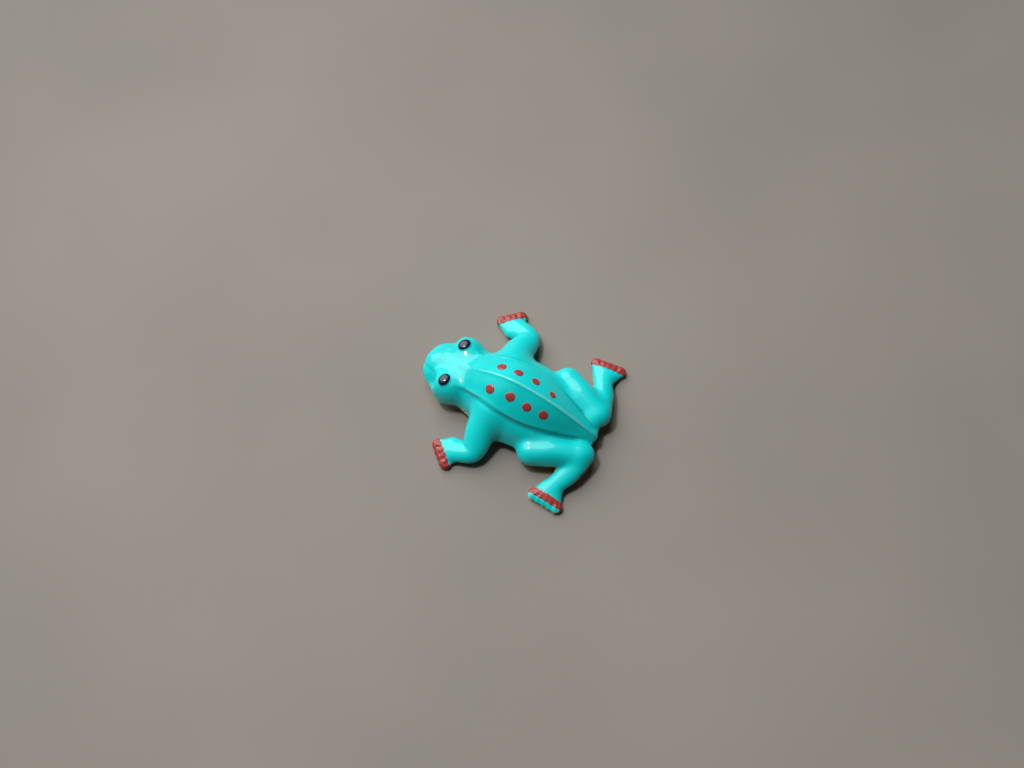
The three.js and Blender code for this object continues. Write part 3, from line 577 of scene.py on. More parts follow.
    def tube(self, row: tuple[Girth, ...], forward: float) -> tuple[Distance, Array, Array]:
        """A limb through a row of oval sections.

        Args:
            row: The sections, from the body outwards.
            forward: How far forward of its drawn place the limb is.

        Returns:
            Its distance, and the corners of the space it may touch.
        """
        knots = catmull(np.array([list(vars(g).values()) for g in row]), 10)
        knots[:, 0] += forward
        up = np.array([0.0, 0.0, 1.0])

        def distance(x: Array, y: Array, z: Array) -> Array:
            """Least distance to any of the short ovals that make up the limb."""
            best = None
            for a, b in zip(knots[:-1], knots[1:]):
                ab = b[:3] - a[:3]
                long = float(np.linalg.norm(ab))
                tangent = ab / long
                side = np.cross(up, tangent)
                side /= np.linalg.norm(side)
                lift = np.cross(tangent, side)
                px, py, pz = x - a[0], y - a[1], z - a[2]
                along = px * tangent[0] + py * tangent[1] + pz * tangent[2]
                t = np.clip(along / long, 0, 1)
                wide, high = a[3] + (b[3] - a[3]) * t, a[4] + (b[4] - a[4]) * t
                u = (px * side[0] + py * side[1] + pz * side[2]) / wide
                v = (px * lift[0] + py * lift[1] + pz * lift[2]) / high
                w = (along - t * long) / wide
                k0 = np.sqrt(u * u + v * v + w * w)
                k1 = np.sqrt((u / wide) ** 2 + (v / high) ** 2 + (w / wide) ** 2)
                d = k0 * (k0 - 1) / np.maximum(k1, 1e-6)
                best = d if best is None else np.minimum(best, d)
            return best

        reach = knots[:, 3].max() + 2.5
        return distance, knots[:, :3].min(0) - reach, knots[:, :3].max(0) + reach

    def foot(self, foot: Foot, forward: float) -> tuple[Distance, Array, Array]:
        """A webbed foot with a bone down each toe and a groove between each two.

        Args:
            foot: Its sizes.
            forward: How far forward of its drawn place the foot is.

        Returns:
            Its distance, and the corners of the space it may touch.
        """
        toe, toe_x = foot.toe, foot.toe_x
        corners = np.array(
            [(0, -foot.heel / 2), (toe_x, -foot.width / 2), (toe_x, foot.width / 2), (0, foot.heel / 2)]
        )

        def distance(x: Array, y: Array, z: Array) -> Array:
            """Distance to the pad, then with its bones added and its grooves cut."""
            u, v = foot.local(x - forward, y)
            plan = np.full(np.broadcast(u, v).shape, -1e6)
            for a, b in zip(corners, np.roll(corners, -1, 0)):
                edge = (b - a) / np.linalg.norm(b - a)
                plan = np.maximum(plan, (u - a[0]) * edge[1] - (v - a[1]) * edge[0])
            for middle in foot.middles():
                plan = smooth_min(plan, np.hypot(u - toe_x, v - middle) - toe, foot.toe_blend)
            top = foot.heel_top - foot.top_fall * np.clip(u, 0, foot.length)
            tall = np.abs(z - top / 2) - top / 2 + foot.rounding
            wide = plan + foot.rounding
            pad = np.hypot(np.maximum(wide, 0), np.maximum(tall, 0)) - foot.rounding
            pad = pad + np.minimum(np.maximum(wide, tall), 0)
            for middle in foot.middles():
                start = (foot.bone_from, middle * foot.bone_gather, foot.bone_z[0])
                bone = self.rod(u, v, z, start, (toe_x + foot.bone_past, middle, foot.bone_z[1]), foot.bone)
                pad = smooth_min(pad, bone, foot.blend)
            for gap in foot.middles()[:-1] + foot.pitch / 2:
                start = (toe_x - foot.web_long, gap * foot.web_gather, foot.web_z[0])
                web = self.rod(u, v, z, start, (toe_x, gap, foot.web_z[1]), foot.web)
                pad = smooth_max(pad, -web, foot.blend)
            return pad

        reach = foot.length + 3
        middle = np.array([foot.x + forward, foot.y, 0])
        return distance, middle - [reach, reach, 2], middle + [reach, reach, 5]

    @staticmethod
    def rod(u: Array, v: Array, z: Array, a: tuple[float, ...], b: tuple[float, ...],
            radius: float) -> Array:
        """Distance to a round-ended rod between two points.

        Args:
            u: Place along the first axis.
            v: Place along the second axis.
            z: Height.
            a: One end.
            b: The other end.
            radius: The rod's radius.

        Returns:
            The distance at each place.
        """
        e = np.subtract(b, a)
        pu, pv, pz = u - a[0], v - a[1], z - a[2]
        t = np.clip((pu * e[0] + pv * e[1] + pz * e[2]) / float(e @ e), 0, 1)
        return np.sqrt((pu - t * e[0]) ** 2 + (pv - t * e[1]) ** 2 + (pz - t * e[2]) ** 2) - radius

    def ball(self, middle: tuple[float, ...], radii: tuple[float, ...]) -> tuple[Distance, Array, Array]:
        """An egg shape.

        Args:
            middle: Its middle.
            radii: Its radius along each axis.

        Returns:
            Its distance, and the corners of the space it may touch.
        """
        centre, r = np.array(middle), np.array(radii)

        def distance(x: Array, y: Array, z: Array) -> Array:
            """Distance to the egg."""
            u, v, w = x - centre[0], y - centre[1], z - centre[2]
            k0 = np.sqrt((u / r[0]) ** 2 + (v / r[1]) ** 2 + (w / r[2]) ** 2)
            k1 = np.sqrt((u / r[0] ** 2) ** 2 + (v / r[1] ** 2) ** 2 + (w / r[2] ** 2) ** 2)
            return k0 * (k0 - 1) / np.maximum(k1, 1e-6)

        return distance, centre - r - 3, centre + r + 3

    def merge(self, lattice: Lattice, values: Array, part: tuple[Distance, Array, Array],
              radius: float, hand: Hand = Hand.LEFT, cut: bool = False) -> None:
        """Joins a part to the field, or cuts it out, with a fillet.

        Args:
            lattice: Where the samples are.
            values: The field, which is changed.
            part: The part's distance and the corners of the space it may touch.
            radius: Size of the fillet.
            hand: The side of the frog it is on.
            cut: True to cut it out.
        """
        distance, low, high = part
        if hand is Hand.RIGHT:
            low, high = (np.array([low[0], -high[1], low[2]]), np.array([high[0], -low[1], high[2]]))
        window = lattice.window(low, high)
        x, y, z = lattice.points(window)
        d = distance(x, y * hand.value, z)
        here = values[window]
        values[window] = smooth_max(here, -d, radius) if cut else smooth_min(here, d, radius)

    def beads(self, lattice: Lattice, values: Array) -> None:
        """Raises the crest and the folds along the back, and undercuts each fold.

        Args:
            lattice: Where the samples are.
            values: The field, which is changed.
        """
        rails = self.rails()[::4]
        crest = [(r[0], 0.0, r[1]) for r in rails if self.crest_from < r[0] < self.crest_to]
        fold = [(r[0], r[2], r[3]) for r in rails if self.fold_from < r[0] < self.fold_to]
        bead = self.chain(crest, 0.0, -self.crest_sink, self.crest_bead)
        self.merge(lattice, values, bead, self.crest_fillet)
        for hand in Hand:
            bead = self.chain(fold, 0.0, -self.fold_sink, self.fold_bead)
            self.merge(lattice, values, bead, self.fold_fillet, hand)
            groove = self.chain(fold, self.groove_out, -self.groove_down, self.fold_groove)
            self.merge(lattice, values, groove, self.groove_fillet, hand, True)

    def chain(self, points: list[tuple[float, ...]], out: float, up: float,
              radius: float) -> tuple[Distance, Array, Array]:
        """A bead along a line of points, tapering to nothing at both ends.

        Args:
            points: The line.
            out: How far the bead lies outside it.
            up: How far it lies above it.
            radius: Its radius at the middle.

        Returns:
            Its distance, and the corners of the space it may touch.
        """
        line = np.array(points) + [0, out, up]
        ends = np.minimum(np.arange(len(line)), np.arange(len(line))[::-1]) / self.taper_points
        sizes = radius * np.minimum(1, self.thin_end + (1 - self.thin_end) * ends)

        def distance(x: Array, y: Array, z: Array) -> Array:
            """Least distance to any stretch of the bead."""
            best = None
            for a, b, size in zip(line[:-1], line[1:], (sizes[:-1] + sizes[1:]) / 2):
                d = self.rod(x, y, z, tuple(a), tuple(b), size)
                best = d if best is None else np.minimum(best, d)
            return best

        reach = radius + 1.2
        return distance, line.min(0) - reach, line.max(0) + reach

    def field(self, step: float) -> Field:
        """The whole outside.

        Args:
            step: Distance between samples.

        Returns:
            Distances from the outside, true to scale near it.
        """
        (far_x, far_y), (low, high) = self.room, self.heights
        lattice = Lattice((-far_x, -far_y, low), (far_x, far_y, high), step)
        values = self.body(lattice)
        for hand in Hand:
            self.merge(lattice, values, self.ball(self.eye_mound, self.eye_radii), self.eye_fillet, hand)
            dent = (self.snout_dent_radius,) * 3
            self.merge(lattice, values, self.ball(self.snout_dent, dent), self.dent_fillet, hand, True)
        self.beads(lattice, values)
        for hand in Hand:
            right = hand is Hand.RIGHT
            arm_shift, hind_shift = (self.arm_forward, self.hind_forward) if right else (0.0, 0.0)
            self.merge(lattice, values, self.tube(self.arm, arm_shift), self.arm_fillet, hand)
            self.merge(lattice, values, self.tube(self.thigh, 0.0), self.thigh_fillet, hand)
            self.merge(lattice, values, self.tube(self.shank, hind_shift), self.joint_fillet, hand)
            for foot, shift in ((self.front_foot, arm_shift), (self.hind_foot, hind_shift)):
                self.merge(lattice, values, self.foot(foot, shift), self.joint_fillet, hand)
        ground = -lattice.points()[2]
        values = np.maximum(values, ground)
        steepness = np.sqrt(sum(g * g for g in np.gradient(values, step)))
        return Field(lattice, values / np.clip(steepness, *self.steepness))


# ------------------------------------------------------------------ finishes
@dataclass(frozen=True)
class Enamel:
    """Stoving enamel, dipped thick over tin and fired until it flows.

    The film is glassy with a faint orange peel. Its colour is painted paler over sharp ridges, a painted
    highlight, and darker in hollows, painted shade.
    """

    name: str
    body: str
    # The next colour is a painted highlight over ridges. The one after it gives darker random patches and
    # also painted shade in hollows.
    ridge_highlight_colour: str
    dark_patch_and_hollow_shade_colour: str
    peel_mm: float = 1.1
    peel_depth: float = 0.16
    drift_mm: float = 7.0
    roughness: float = 0.36
    specular: float = 0.3
    coat: float = 0.55
    coat_roughness: float = 0.04

    def material(self) -> bpy.types.Material:
        """Builds the node material.

        Returns:
            The material.
        """
        made = bpy.data.materials.new(self.name)
        made.use_nodes = True
        tree = made.node_tree
        shader = tree.nodes["Principled BSDF"]
        place = add_node(tree, "ShaderNodeTexCoord").outputs["Object"]
        # Slow drift of the film's thickness, about 7 mm from one patch to the next.
        drift = add_node(tree, "ShaderNodeTexNoise", links={
            "Vector": place, "Scale": 1 / (self.drift_mm * MM), "Detail": 2.0, "Roughness": 0.55})
        patches = ramp(add_node(tree, "ShaderNodeValToRGB", links={"Fac": drift.outputs["Fac"]}),
                       [(0.32, linear(self.dark_patch_and_hollow_shade_colour)), (0.5, linear(self.body)), (0.75, linear(self.body))])
        light_touch = add_node(tree, "ShaderNodeMix", {"data_type": "RGBA"}, {
            "Factor": 0.28, "A": linear(self.body), "B": patches.outputs["Color"]})
        # Painted highlight: the colour turns paler over ridges, where the surface bends faster than 1.2 per
        # millimetre. Painted shade: it turns darker in hollows.
        bend = add_node(tree, "ShaderNodeAttribute", {"attribute_name": "bend"}).outputs["Fac"]
        ridge_highlight_mask = add_node(tree, "ShaderNodeMapRange", links={"Value": bend, "From Min": 1.2, "From Max": 3.0})
        hollow_shade_mask = add_node(tree, "ShaderNodeMapRange", links={
            "Value": bend, "From Min": -0.3, "From Max": -1.5})
        with_ridge_highlight = add_node(tree, "ShaderNodeMix", {"data_type": "RGBA"}, {
            "Factor": ridge_highlight_mask.outputs["Result"], "A": light_touch.outputs["Result"], "B": linear(self.ridge_highlight_colour)})
        with_hollow_shade = add_node(tree, "ShaderNodeMix", {"data_type": "RGBA"}, {
            "Factor": hollow_shade_mask.outputs["Result"], "A": with_ridge_highlight.outputs["Result"], "B": linear(self.dark_patch_and_hollow_shade_colour)})
        # Orange peel, about 1.1 mm from crest to crest.
        peel = add_node(tree, "ShaderNodeTexNoise", links={
            "Vector": place, "Scale": 1 / (self.peel_mm * MM), "Detail": 1.0})
        bump = add_node(tree, "ShaderNodeBump", links={
            "Height": peel.outputs["Fac"], "Strength": self.peel_depth, "Distance": 0.05 * MM})
        haze = ramp(add_node(tree, "ShaderNodeValToRGB", links={"Fac": drift.outputs["Fac"]}),
                    [(0.3, (self.roughness,) * 3 + (1,)), (0.7, (self.roughness * 1.5,) * 3 + (1,))])
        tree.links.new(with_hollow_shade.outputs["Result"], shader.inputs["Base Color"])
        tree.links.new(haze.outputs["Color"], shader.inputs["Roughness"])
        tree.links.new(bump.outputs["Normal"], shader.inputs["Normal"])
        shader.inputs["IOR"].default_value = 1.52
        shader.inputs["Specular IOR Level"].default_value = self.specular
        shader.inputs["Coat Weight"].default_value = self.coat
        shader.inputs["Coat Roughness"].default_value = self.coat_roughness
        shader.inputs["Coat IOR"].default_value = 1.5
        return made


@dataclass(frozen=True)
class Metal:
    """A bare or plated metal part with the marks of how its surface was made.

    Rolled sheet and turned bar show fine parallel grain, and both dull unevenly with handling.
    """

    name: str
    bright: str
    dull: str
    roughness: float
    grain_mm: tuple[float, float, float]
    grain_depth: float = 0.2
    stain_mm: float = 3.0

    def material(self) -> bpy.types.Material:
        """Builds the node material.

        Returns:
            The material.
        """
        made = bpy.data.materials.new(self.name)
        made.use_nodes = True
        tree = made.node_tree
        shader = tree.nodes["Principled BSDF"]
        place = add_node(tree, "ShaderNodeTexCoord").outputs["Object"]
        # Grain lines: long one way and fine the other, in real millimetres.
        stretched = add_node(tree, "ShaderNodeMapping", links={
            "Vector": place, "Scale": tuple(1 / (g * MM) for g in self.grain_mm)})
        grain = add_node(tree, "ShaderNodeTexNoise", links={
            "Vector": stretched.outputs["Vector"], "Scale": 1.0, "Detail": 3.0})
        stain = add_node(tree, "ShaderNodeTexNoise", links={
            "Vector": place, "Scale": 1 / (self.stain_mm * MM), "Detail": 4.0, "Roughness": 0.6})
        tone = ramp(add_node(tree, "ShaderNodeValToRGB", links={"Fac": stain.outputs["Fac"]}),
                    [(0.35, linear(self.dull)), (0.62, linear(self.bright))])
        rough = ramp(add_node(tree, "ShaderNodeValToRGB", links={"Fac": grain.outputs["Fac"]}),
                     [(0.3, (self.roughness * 0.75,) * 3 + (1,)), (0.7, (self.roughness * 1.3,) * 3 + (1,))])
        bump = add_node(tree, "ShaderNodeBump", links={
            "Height": grain.outputs["Fac"], "Strength": self.grain_depth, "Distance": 0.02 * MM})
        tree.links.new(tone.outputs["Color"], shader.inputs["Base Color"])
        tree.links.new(rough.outputs["Color"], shader.inputs["Roughness"])
        tree.links.new(bump.outputs["Normal"], shader.inputs["Normal"])
        shader.inputs["Metallic"].default_value = 1.0
        return made


# In each enamel below, the second colour is a painted highlight over ridges, and the third gives darker
# random patches and also painted shade in hollows.
# The back: one thick bright coat. The belly: the same enamel in a warm yellow.
TURQUOISE = Enamel("stoved_turquoise_enamel", "#00D8D6", "#8FEDE6", "#00A8A6")
YELLOW = Enamel("stoved_yellow_enamel", "#DFA83A", "#F3D391", "#B97E1E")
# Dots and toes: red-brown enamel set down by brush, so its film changes over short distances.
RED_PAINT = Enamel("brushed_red_brown_enamel", "#A63C38", "#C0655C", "#7E2826", peel_mm=0.5,
                   drift_mm=1.6, roughness=0.34)
# Eyes: near-black navy, laid on as a round drop that keeps a hard gloss.
EYE_PAINT = Enamel("glossy_navy_enamel", "#0A1230", "#1A2A5A", "#04060F", peel_mm=0.8,
                   drift_mm=1.8, roughness=0.22)
METALS = {
    # Rolled brass sheet: warm yellow with long straight grain and browner stains.
    "brass_plate": Metal("rolled_brass", "#D8B168", "#A87F3C", 0.3, (2.5, 0.12, 0.5)),
    # Steel turned on a lathe: grey with close rings.
    "turned_steel": Metal("turned_steel", "#B9BBBE", "#85888C", 0.28, (0.6, 0.6, 0.1)),
    # Spring steel blued by heat: dark blue, smoother along the strip.
    "blued_spring_steel": Metal("blued_spring_steel", "#4C6488", "#283447", 0.26, (1.6, 1.6, 0.12)),
    # Steel with nickel plate: bright, a little warm, dulled where fingers hold it.
    "nickel_plate": Metal("nickel_plated_steel", "#CFC9BC", "#A29A8B", 0.16, (1.5, 0.15, 0.4), 0.1),
}


# ------------------------------------------------------------------ mesh pieces
def make_piece(name: str, vertices: Array, faces: Array | list, finish: bpy.types.Material,
               shift: float) -> bpy.types.Object:
    """Makes a mesh piece that rides on the frame of the toy.

    Args:
        name: The piece's name.
        vertices: Corners in the millimetres the frog is drawn in.
        faces: Corners of each face.
        finish: Its material.
        shift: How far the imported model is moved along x, in millimetres.

    Returns:
        The new object.
    """
    placed = (np.asarray(vertices) + [shift, 0, 0]) * MM
    mesh = bpy.data.meshes.new(name)
    mesh.from_pydata(placed.tolist(), [], [tuple(map(int, face)) for face in faces])
    mesh.polygons.foreach_set("use_smooth", [True] * len(mesh.polygons))
    mesh.materials.append(finish)
    piece = bpy.data.objects.new(name, mesh)
    bpy.context.scene.collection.objects.link(piece)
    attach(piece, "frame")
    LOG.info("%s: %d faces", name, len(mesh.polygons))
    return piece


@dataclass
class Skins:
    """The two pressed skins, the back and the belly, which meet at the seam."""

    form: FrogForm
    shift: float
    sheet: float = 0.5
    lip: float = 0.1
    lip_depth: float = 0.6
    seam_gap: float = 0.16
    seam_body_z: float = 3.0
    seam_foot_z: float = 0.6
    seam_body_y: float = 9.4
    seam_foot_y: float = 14.5
    step: float = 0.25
    key_hole: float = 1.1
    screw_hole: float = 0.6
    slot_half: float = 1.9
    slot_rear: float = 2.0
    slot_front: float = 0.9
    straps_x: tuple[float, float] = (-4.5, 5.5)
    strap_side: float = 6.9
    strap_sheet: float = 0.4
    strap_width: float = 2.0
    strap_fold: float = 1.5
    strap_bend: float = 0.35
    # Heights of a strap: its top, where it starts down straight, and its folded end.
    strap_z: tuple[float, float, float] = (4.4, 3.4, 2.0)
    strap_flat: float = 0.6
    strap_play: float = 0.1
    # Middle height and depth of the cutters that pierce the belly.
    pierce_z: float = 2.2
    peg_depth: float = 2.4
    block_depth: float = 1.4
    surface: Field = field(init=False)

    def build(self) -> None:
        """Builds and dresses both skins and the straps that hold them together."""
        self.surface = self.form.field(self.step)
        turquoise, yellow = TURQUOISE.material(), YELLOW.material()
        back = self.skin(Side.BACK, "back_skin", turquoise, "turquoise_enamel")
        belly = self.skin(Side.BELLY, "belly_skin", yellow, "yellow_enamel")
        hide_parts("top_shell")
        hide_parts("belly_shell")
        self.pierce(belly)
        self.straps(turquoise)

    def seam(self) -> Array:
        """Measures the height above the seam.

        Returns:
            The height over the lattice, true to scale.
        """
        _, y, z = self.surface.lattice.points()
        far = np.abs(y)
        line = np.interp(far, [self.seam_body_y, self.seam_foot_y], [self.seam_body_z, self.seam_foot_z])
        pitch = (self.seam_body_z - self.seam_foot_z) / (self.seam_foot_y - self.seam_body_y)
        sloping = (far > self.seam_body_y) & (far < self.seam_foot_y)
        return (z - line) / np.where(sloping, math.hypot(1, pitch), 1.0)

    def skin(self, side: Side, name: str, finish: bpy.types.Material, slot: str) -> bpy.types.Object:
        """Makes one skin: the outside, its inside a sheet's thickness in, and the edge at the seam.

        Args:
            side: Which skin it is.
            name: The piece's name.
            finish: Its material.
            slot: Not used.

        Returns:
            The new object.
        """
        values = self.surface.values
        if side is Side.BELLY:
            values = values - self.lip * np.clip(1 + self.seam() / self.lip_depth, 0, 1)
        shell = np.maximum(values, -(values + self.sheet))
        shell = np.maximum(shell, -self.surface.lattice.points()[2])
        apart = self.seam_gap / 2 - side.value * self.seam()
        cut = np.maximum(shell, apart)
        vertices, faces = net(self.surface.lattice, cut)
        piece = make_piece(name, vertices, faces, finish, self.shift)
        bend = piece.data.attributes.new("bend", "FLOAT", "POINT")
        bend.data.foreach_set("value", self.surface.bend().at(vertices).astype(np.float32))
        return piece

    def pierce(self, belly: bpy.types.Object) -> None:
        """Cuts the key hole, the kicker's slot, the screw holes and the strap slots through the belly.

        Args:
            belly: The belly skin, whose mesh is replaced.
        """
        tool_mesh = bmesh.new()
        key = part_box("key_head")
        self.peg(tool_mesh, (key[0] + key[1]) / 2, self.key_hole)
        for node in ("movement_screw_front", "movement_screw_rear"):
            low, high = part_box(node)
            self.peg(tool_mesh, (low + high) / 2, self.screw_hole)
        pin_low, pin_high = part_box("kicker_pin")
        pin_x = (pin_low.x + pin_high.x) / 2 / MM
        self.block(tool_mesh, (pin_x - self.slot_rear, -self.slot_half),
                   (pin_x + self.slot_front, self.slot_half))
        play = self.strap_play
        half = self.strap_width / 2 + play
        for x in self.straps_x:
            for hand in Hand:
                ends = sorted(hand.value * v for v in
                              (self.strap_side - play, self.strap_side + self.strap_sheet + play))
                self.block(tool_mesh, (x + self.shift - half, ends[0]), (x + self.shift + half, ends[1]))
        mesh = bpy.data.meshes.new("piercing_tool")
        tool_mesh.to_mesh(mesh)
        tool_mesh.free()
        tool = bpy.data.objects.new("piercing_tool", mesh)
        bpy.context.scene.collection.objects.link(tool)
        cutter = belly.modifiers.new("pierce", "BOOLEAN")
        cutter.operation, cutter.solver, cutter.object = "DIFFERENCE", "EXACT", tool
        shaped = bpy.data.meshes.new_from_object(belly.evaluated_get(bpy.context.evaluated_depsgraph_get()))
        belly.modifiers.clear()
        belly.data = shaped
        bpy.data.objects.remove(tool)

    def peg(self, tool: bmesh.types.BMesh, middle: Vector, radius: float) -> None:
        """Adds an upright round cutter from below the belly to inside it.

        Args:
            tool: The mesh of all cutters.
            middle: Its place, in metres.
            radius: Its radius.
        """
        place = Matrix.Translation((middle.x, middle.y, self.pierce_z * MM))
        bmesh.ops.create_cone(tool, cap_ends=True, segments=40, radius1=radius * MM,
                              radius2=radius * MM, depth=self.peg_depth * MM, matrix=place)

    def block(self, tool: bmesh.types.BMesh, low: tuple[float, float], high: tuple[float, float]) -> None:
        """Adds an upright square cutter from below the belly to inside it.

        Args:
            tool: The mesh of all cutters.
            low: Its lowest x and y.
            high: Its highest x and y.
        """
        middle = [(a + b) / 2 * MM for a, b in zip(low, high)]
        size = [(b - a) * MM for a, b in zip(low, high)]
        scale = Matrix.Diagonal((*size, self.block_depth * MM, 1))
        place = Matrix.Translation((*middle, self.pierce_z * MM)) @ scale
        bmesh.ops.create_cube(tool, size=1.0, matrix=place)

    def straps(self, finish: bpy.types.Material) -> None:
        """Makes the four straps of the back, down inside the flanks and folded under the belly.

        Args:
            finish: Their material.
        """
        middle = self.strap_side + self.strap_sheet / 2
        bend, (top, straight, under) = self.strap_bend, self.strap_z
        turn = [(middle - bend + bend * math.cos(a), under + bend - bend * math.sin(a))
                for a in np.radians([0, 22, 45, 68, 90])]
        line = np.array([(middle, top), (middle, straight), *turn, (middle - bend - self.strap_flat, under),
                         (self.strap_side - self.strap_fold, under)])
        step = np.gradient(line, axis=0)
        away = np.stack([step[:, 1], -step[:, 0]], 1) / np.linalg.norm(step, axis=1, keepdims=True)
        outer, inner = line + away * self.strap_sheet / 2, line - away * self.strap_sheet / 2
        for i, x in enumerate(self.straps_x):
            for hand in Hand:
                rows = []
                for (oy, oz), (iy, iz) in zip(outer, inner):
                    for dx in (-self.strap_width / 2, self.strap_width / 2):
                        rows += [(x + dx, oy * hand.value, oz), (x + dx, iy * hand.value, iz)]
                faces = [(0, 1, 3, 2)]
                for k in range(len(line) - 1):
                    a, b = 4 * k, 4 * k + 4
                    faces += [(a, b, b + 1, a + 1), (a + 2, a + 3, b + 3, b + 2),
                              (a, a + 2, b + 2, b), (a + 1, b + 1, b + 3, a + 3)]
                last = 4 * (len(line) - 1)
                faces.append((last, last + 2, last + 3, last + 1))
                name = f"fold_strap_{'front' if i else 'rear'}_{hand.name.lower()}"
                strap = make_piece(name, np.array(rows), faces, finish, self.shift)
                shape = bmesh.new()
                shape.from_mesh(strap.data)
                bmesh.ops.recalc_face_normals(shape, faces=shape.faces)
                shape.to_mesh(strap.data)
                shape.free()
                edge = strap.modifiers.new("rolled_edge", "BEVEL")
                edge.width, edge.segments, edge.limit_method = 0.06 * MM, 2, "ANGLE"


@dataclass
class Paintwork:
    """Blobs of enamel laid on the finished skin: spots, eyes and toe tips."""

    skins: Skins
    # Place and size of each spot, from the neck back on each side.
    spots: tuple[tuple[float, float, float], ...] = (
        (4.7, 3.2, 1.0), (-0.15, 3.1, 1.02), (-4.2, 3.25, 0.95), (-8.0, 2.85, 0.98),
        (4.7, -2.4, 1.0), (0.7, -2.6, 0.98), (-3.4, -2.7, 0.92), (-7.8, -2.0, 0.8))
    spot_radius: float = 1.1
    spot_height: float = 0.16
    eye: tuple[float, float, float] = (15.3, 4.7, 8.3)
    eye_long: float = 1.3
    eye_wide: float = 1.65
    # The brush turned each eye a little differently, in degrees.
    eye_tilt_left: float = -7.0
    eye_tilt_right: float = -28.0
    lid: float = 0.3
    spot_round: float = 0.96
    spot_wobble: float = 0.02
    lid_height: float = 0.16
    eye_height: float = 0.42
    # The way the eyes look, with y turned to each side.
    eye_facing: tuple[float, float, float] = (0.12, 0.28, 1.0)
    # How high a drop of paint stands at each share of its radius.
    dome: tuple[tuple[float, float], ...] = (
        (0.0, 1.0), (0.25, 0.985), (0.5, 0.93), (0.7, 0.83), (0.84, 0.68), (0.93, 0.48),
        (0.985, 0.22), (1.0, -0.02), (0.99, -0.35))
    film: float = 0.11
    film_sunk: float = 0.06
    film_edge: float = 0.12
    lobe: float = 0.07
    fine: float = 0.13
    # Room sampled round the toes: how far past the foot's width, and between which heights.
    toe_room: float = 1.2
    toe_heights: tuple[float, float] = (0.4, 3.2)

    def build(self) -> None:
        """Lays on every blob."""
        red, navy, turquoise = RED_PAINT.material(), EYE_PAINT.material(), TURQUOISE.material()
        for i, (x, y, share) in enumerate(self.spots):
            size = self.spot_radius * share
            wobble = self.spot_wobble * math.sin(1.7 * i)
            self.lens(f"back_spot_{i + 1}", (x, y, 13.0), size, size * self.spot_round, self.spot_height,
                      red, wobble, (0, 0, 1))
        for hand in Hand:
            x, y, z = self.eye[0], self.eye[1] * hand.value, self.eye[2]
            facing = (self.eye_facing[0], self.eye_facing[1] * hand.value, self.eye_facing[2])
            side = hand.name.lower()
            tilt = math.radians(self.eye_tilt_left if hand is Hand.LEFT else self.eye_tilt_right)
            self.lens(f"eye_lid_{side}", (x, y, z), self.eye_long + self.lid, self.eye_wide + self.lid,
                      self.lid_height, turquoise, 0.0, facing, tilt)
            self.lens(f"eye_{side}", (x, y, z), self.eye_long, self.eye_wide, self.eye_height, navy, 0.0,
                      facing, tilt)
        form = self.skins.form
        for hand in Hand:
            right = hand is Hand.RIGHT
            for foot, shift, place in ((form.front_foot, form.arm_forward, "front"),
                                       (form.hind_foot, form.hind_forward, "hind")):
                name = f"toe_paint_{place}_{hand.name.lower()}"
                self.toes(name, foot, shift if right else 0.0, hand, red)

    def lens(self, name: str, middle: tuple[float, float, float], long: float, wide: float,
             height: float, finish: bpy.types.Material, wobble: float, facing: tuple[float, ...],
             tilt: float = 0.0) -> None:
        """Lays a domed oval blob on the skin.

        Args:
            name: The piece's name.
            middle: A point near its middle.
            long: Half its length along the frog.
            wide: Half its width.
            height: How far it stands proud.
            finish: Its material.
            wobble: How far its outline is from a true oval, as a share.
            facing: The way from which it was laid on.
            tilt: Angle its length is turned by.
        """
        surface = self.skins.surface
        away = np.array(facing, float) / np.linalg.norm(facing)
        probe = np.array(middle)[None] + np.linspace(-4, 4, 321)[:, None] * away
        outside = surface.at(probe)
        centre = probe[np.flatnonzero(outside < 0)[-1]][None]
        centre = surface.settle(centre)[0]
        normal = surface.slope(centre[None])[0]
        ahead = np.array([1.0, 0, 0]) - normal[0] * normal
        ahead /= np.linalg.norm(ahead)
        side = np.cross(normal, ahead)
        ahead, side = (math.cos(tilt) * ahead + math.sin(tilt) * side,
                       math.cos(tilt) * side - math.sin(tilt) * ahead)
        rings = self.dome
        around = np.radians(np.arange(0, 360, 9))
        points, heights = [], []
        for share, rise in rings:
            size = share * (1 + wobble * np.cos(3 * around) + wobble * 0.6 * np.sin(2 * around))
            points.append(centre + (size * long * np.cos(around))[:, None] * ahead
                          + (size * wide * np.sin(around))[:, None] * side)
            heights += [rise * height] * len(around)
        flat = surface.settle(np.vstack(points))
        vertices = flat + np.array(heights)[:, None] * surface.slope(flat)
        count = len(around)
        faces = []
        for ring in range(1, len(rings)):
            a, b = (ring - 1) * count, ring * count
            for k in range(count):
                n = (k + 1) % count
                if ring == 1:
                    faces.append((a, b + k, b + n))
                else:
                    faces.append((a + k, b + k, b + n, a + n))
        faces.append(tuple(reversed(range((len(rings) - 1) * count, len(rings) * count))))
        vertices[:count] = vertices[:count].mean(0)
        mesh_points, index = np.unique(np.round(vertices, 5), axis=0, return_inverse=True)
        index = index.ravel()
        tidy = [tuple(dict.fromkeys(int(index[v]) for v in face)) for face in faces]
        faces = [face for face in tidy if len(face) > 2]
        make_piece(name, mesh_points, faces, finish, self.skins.shift)

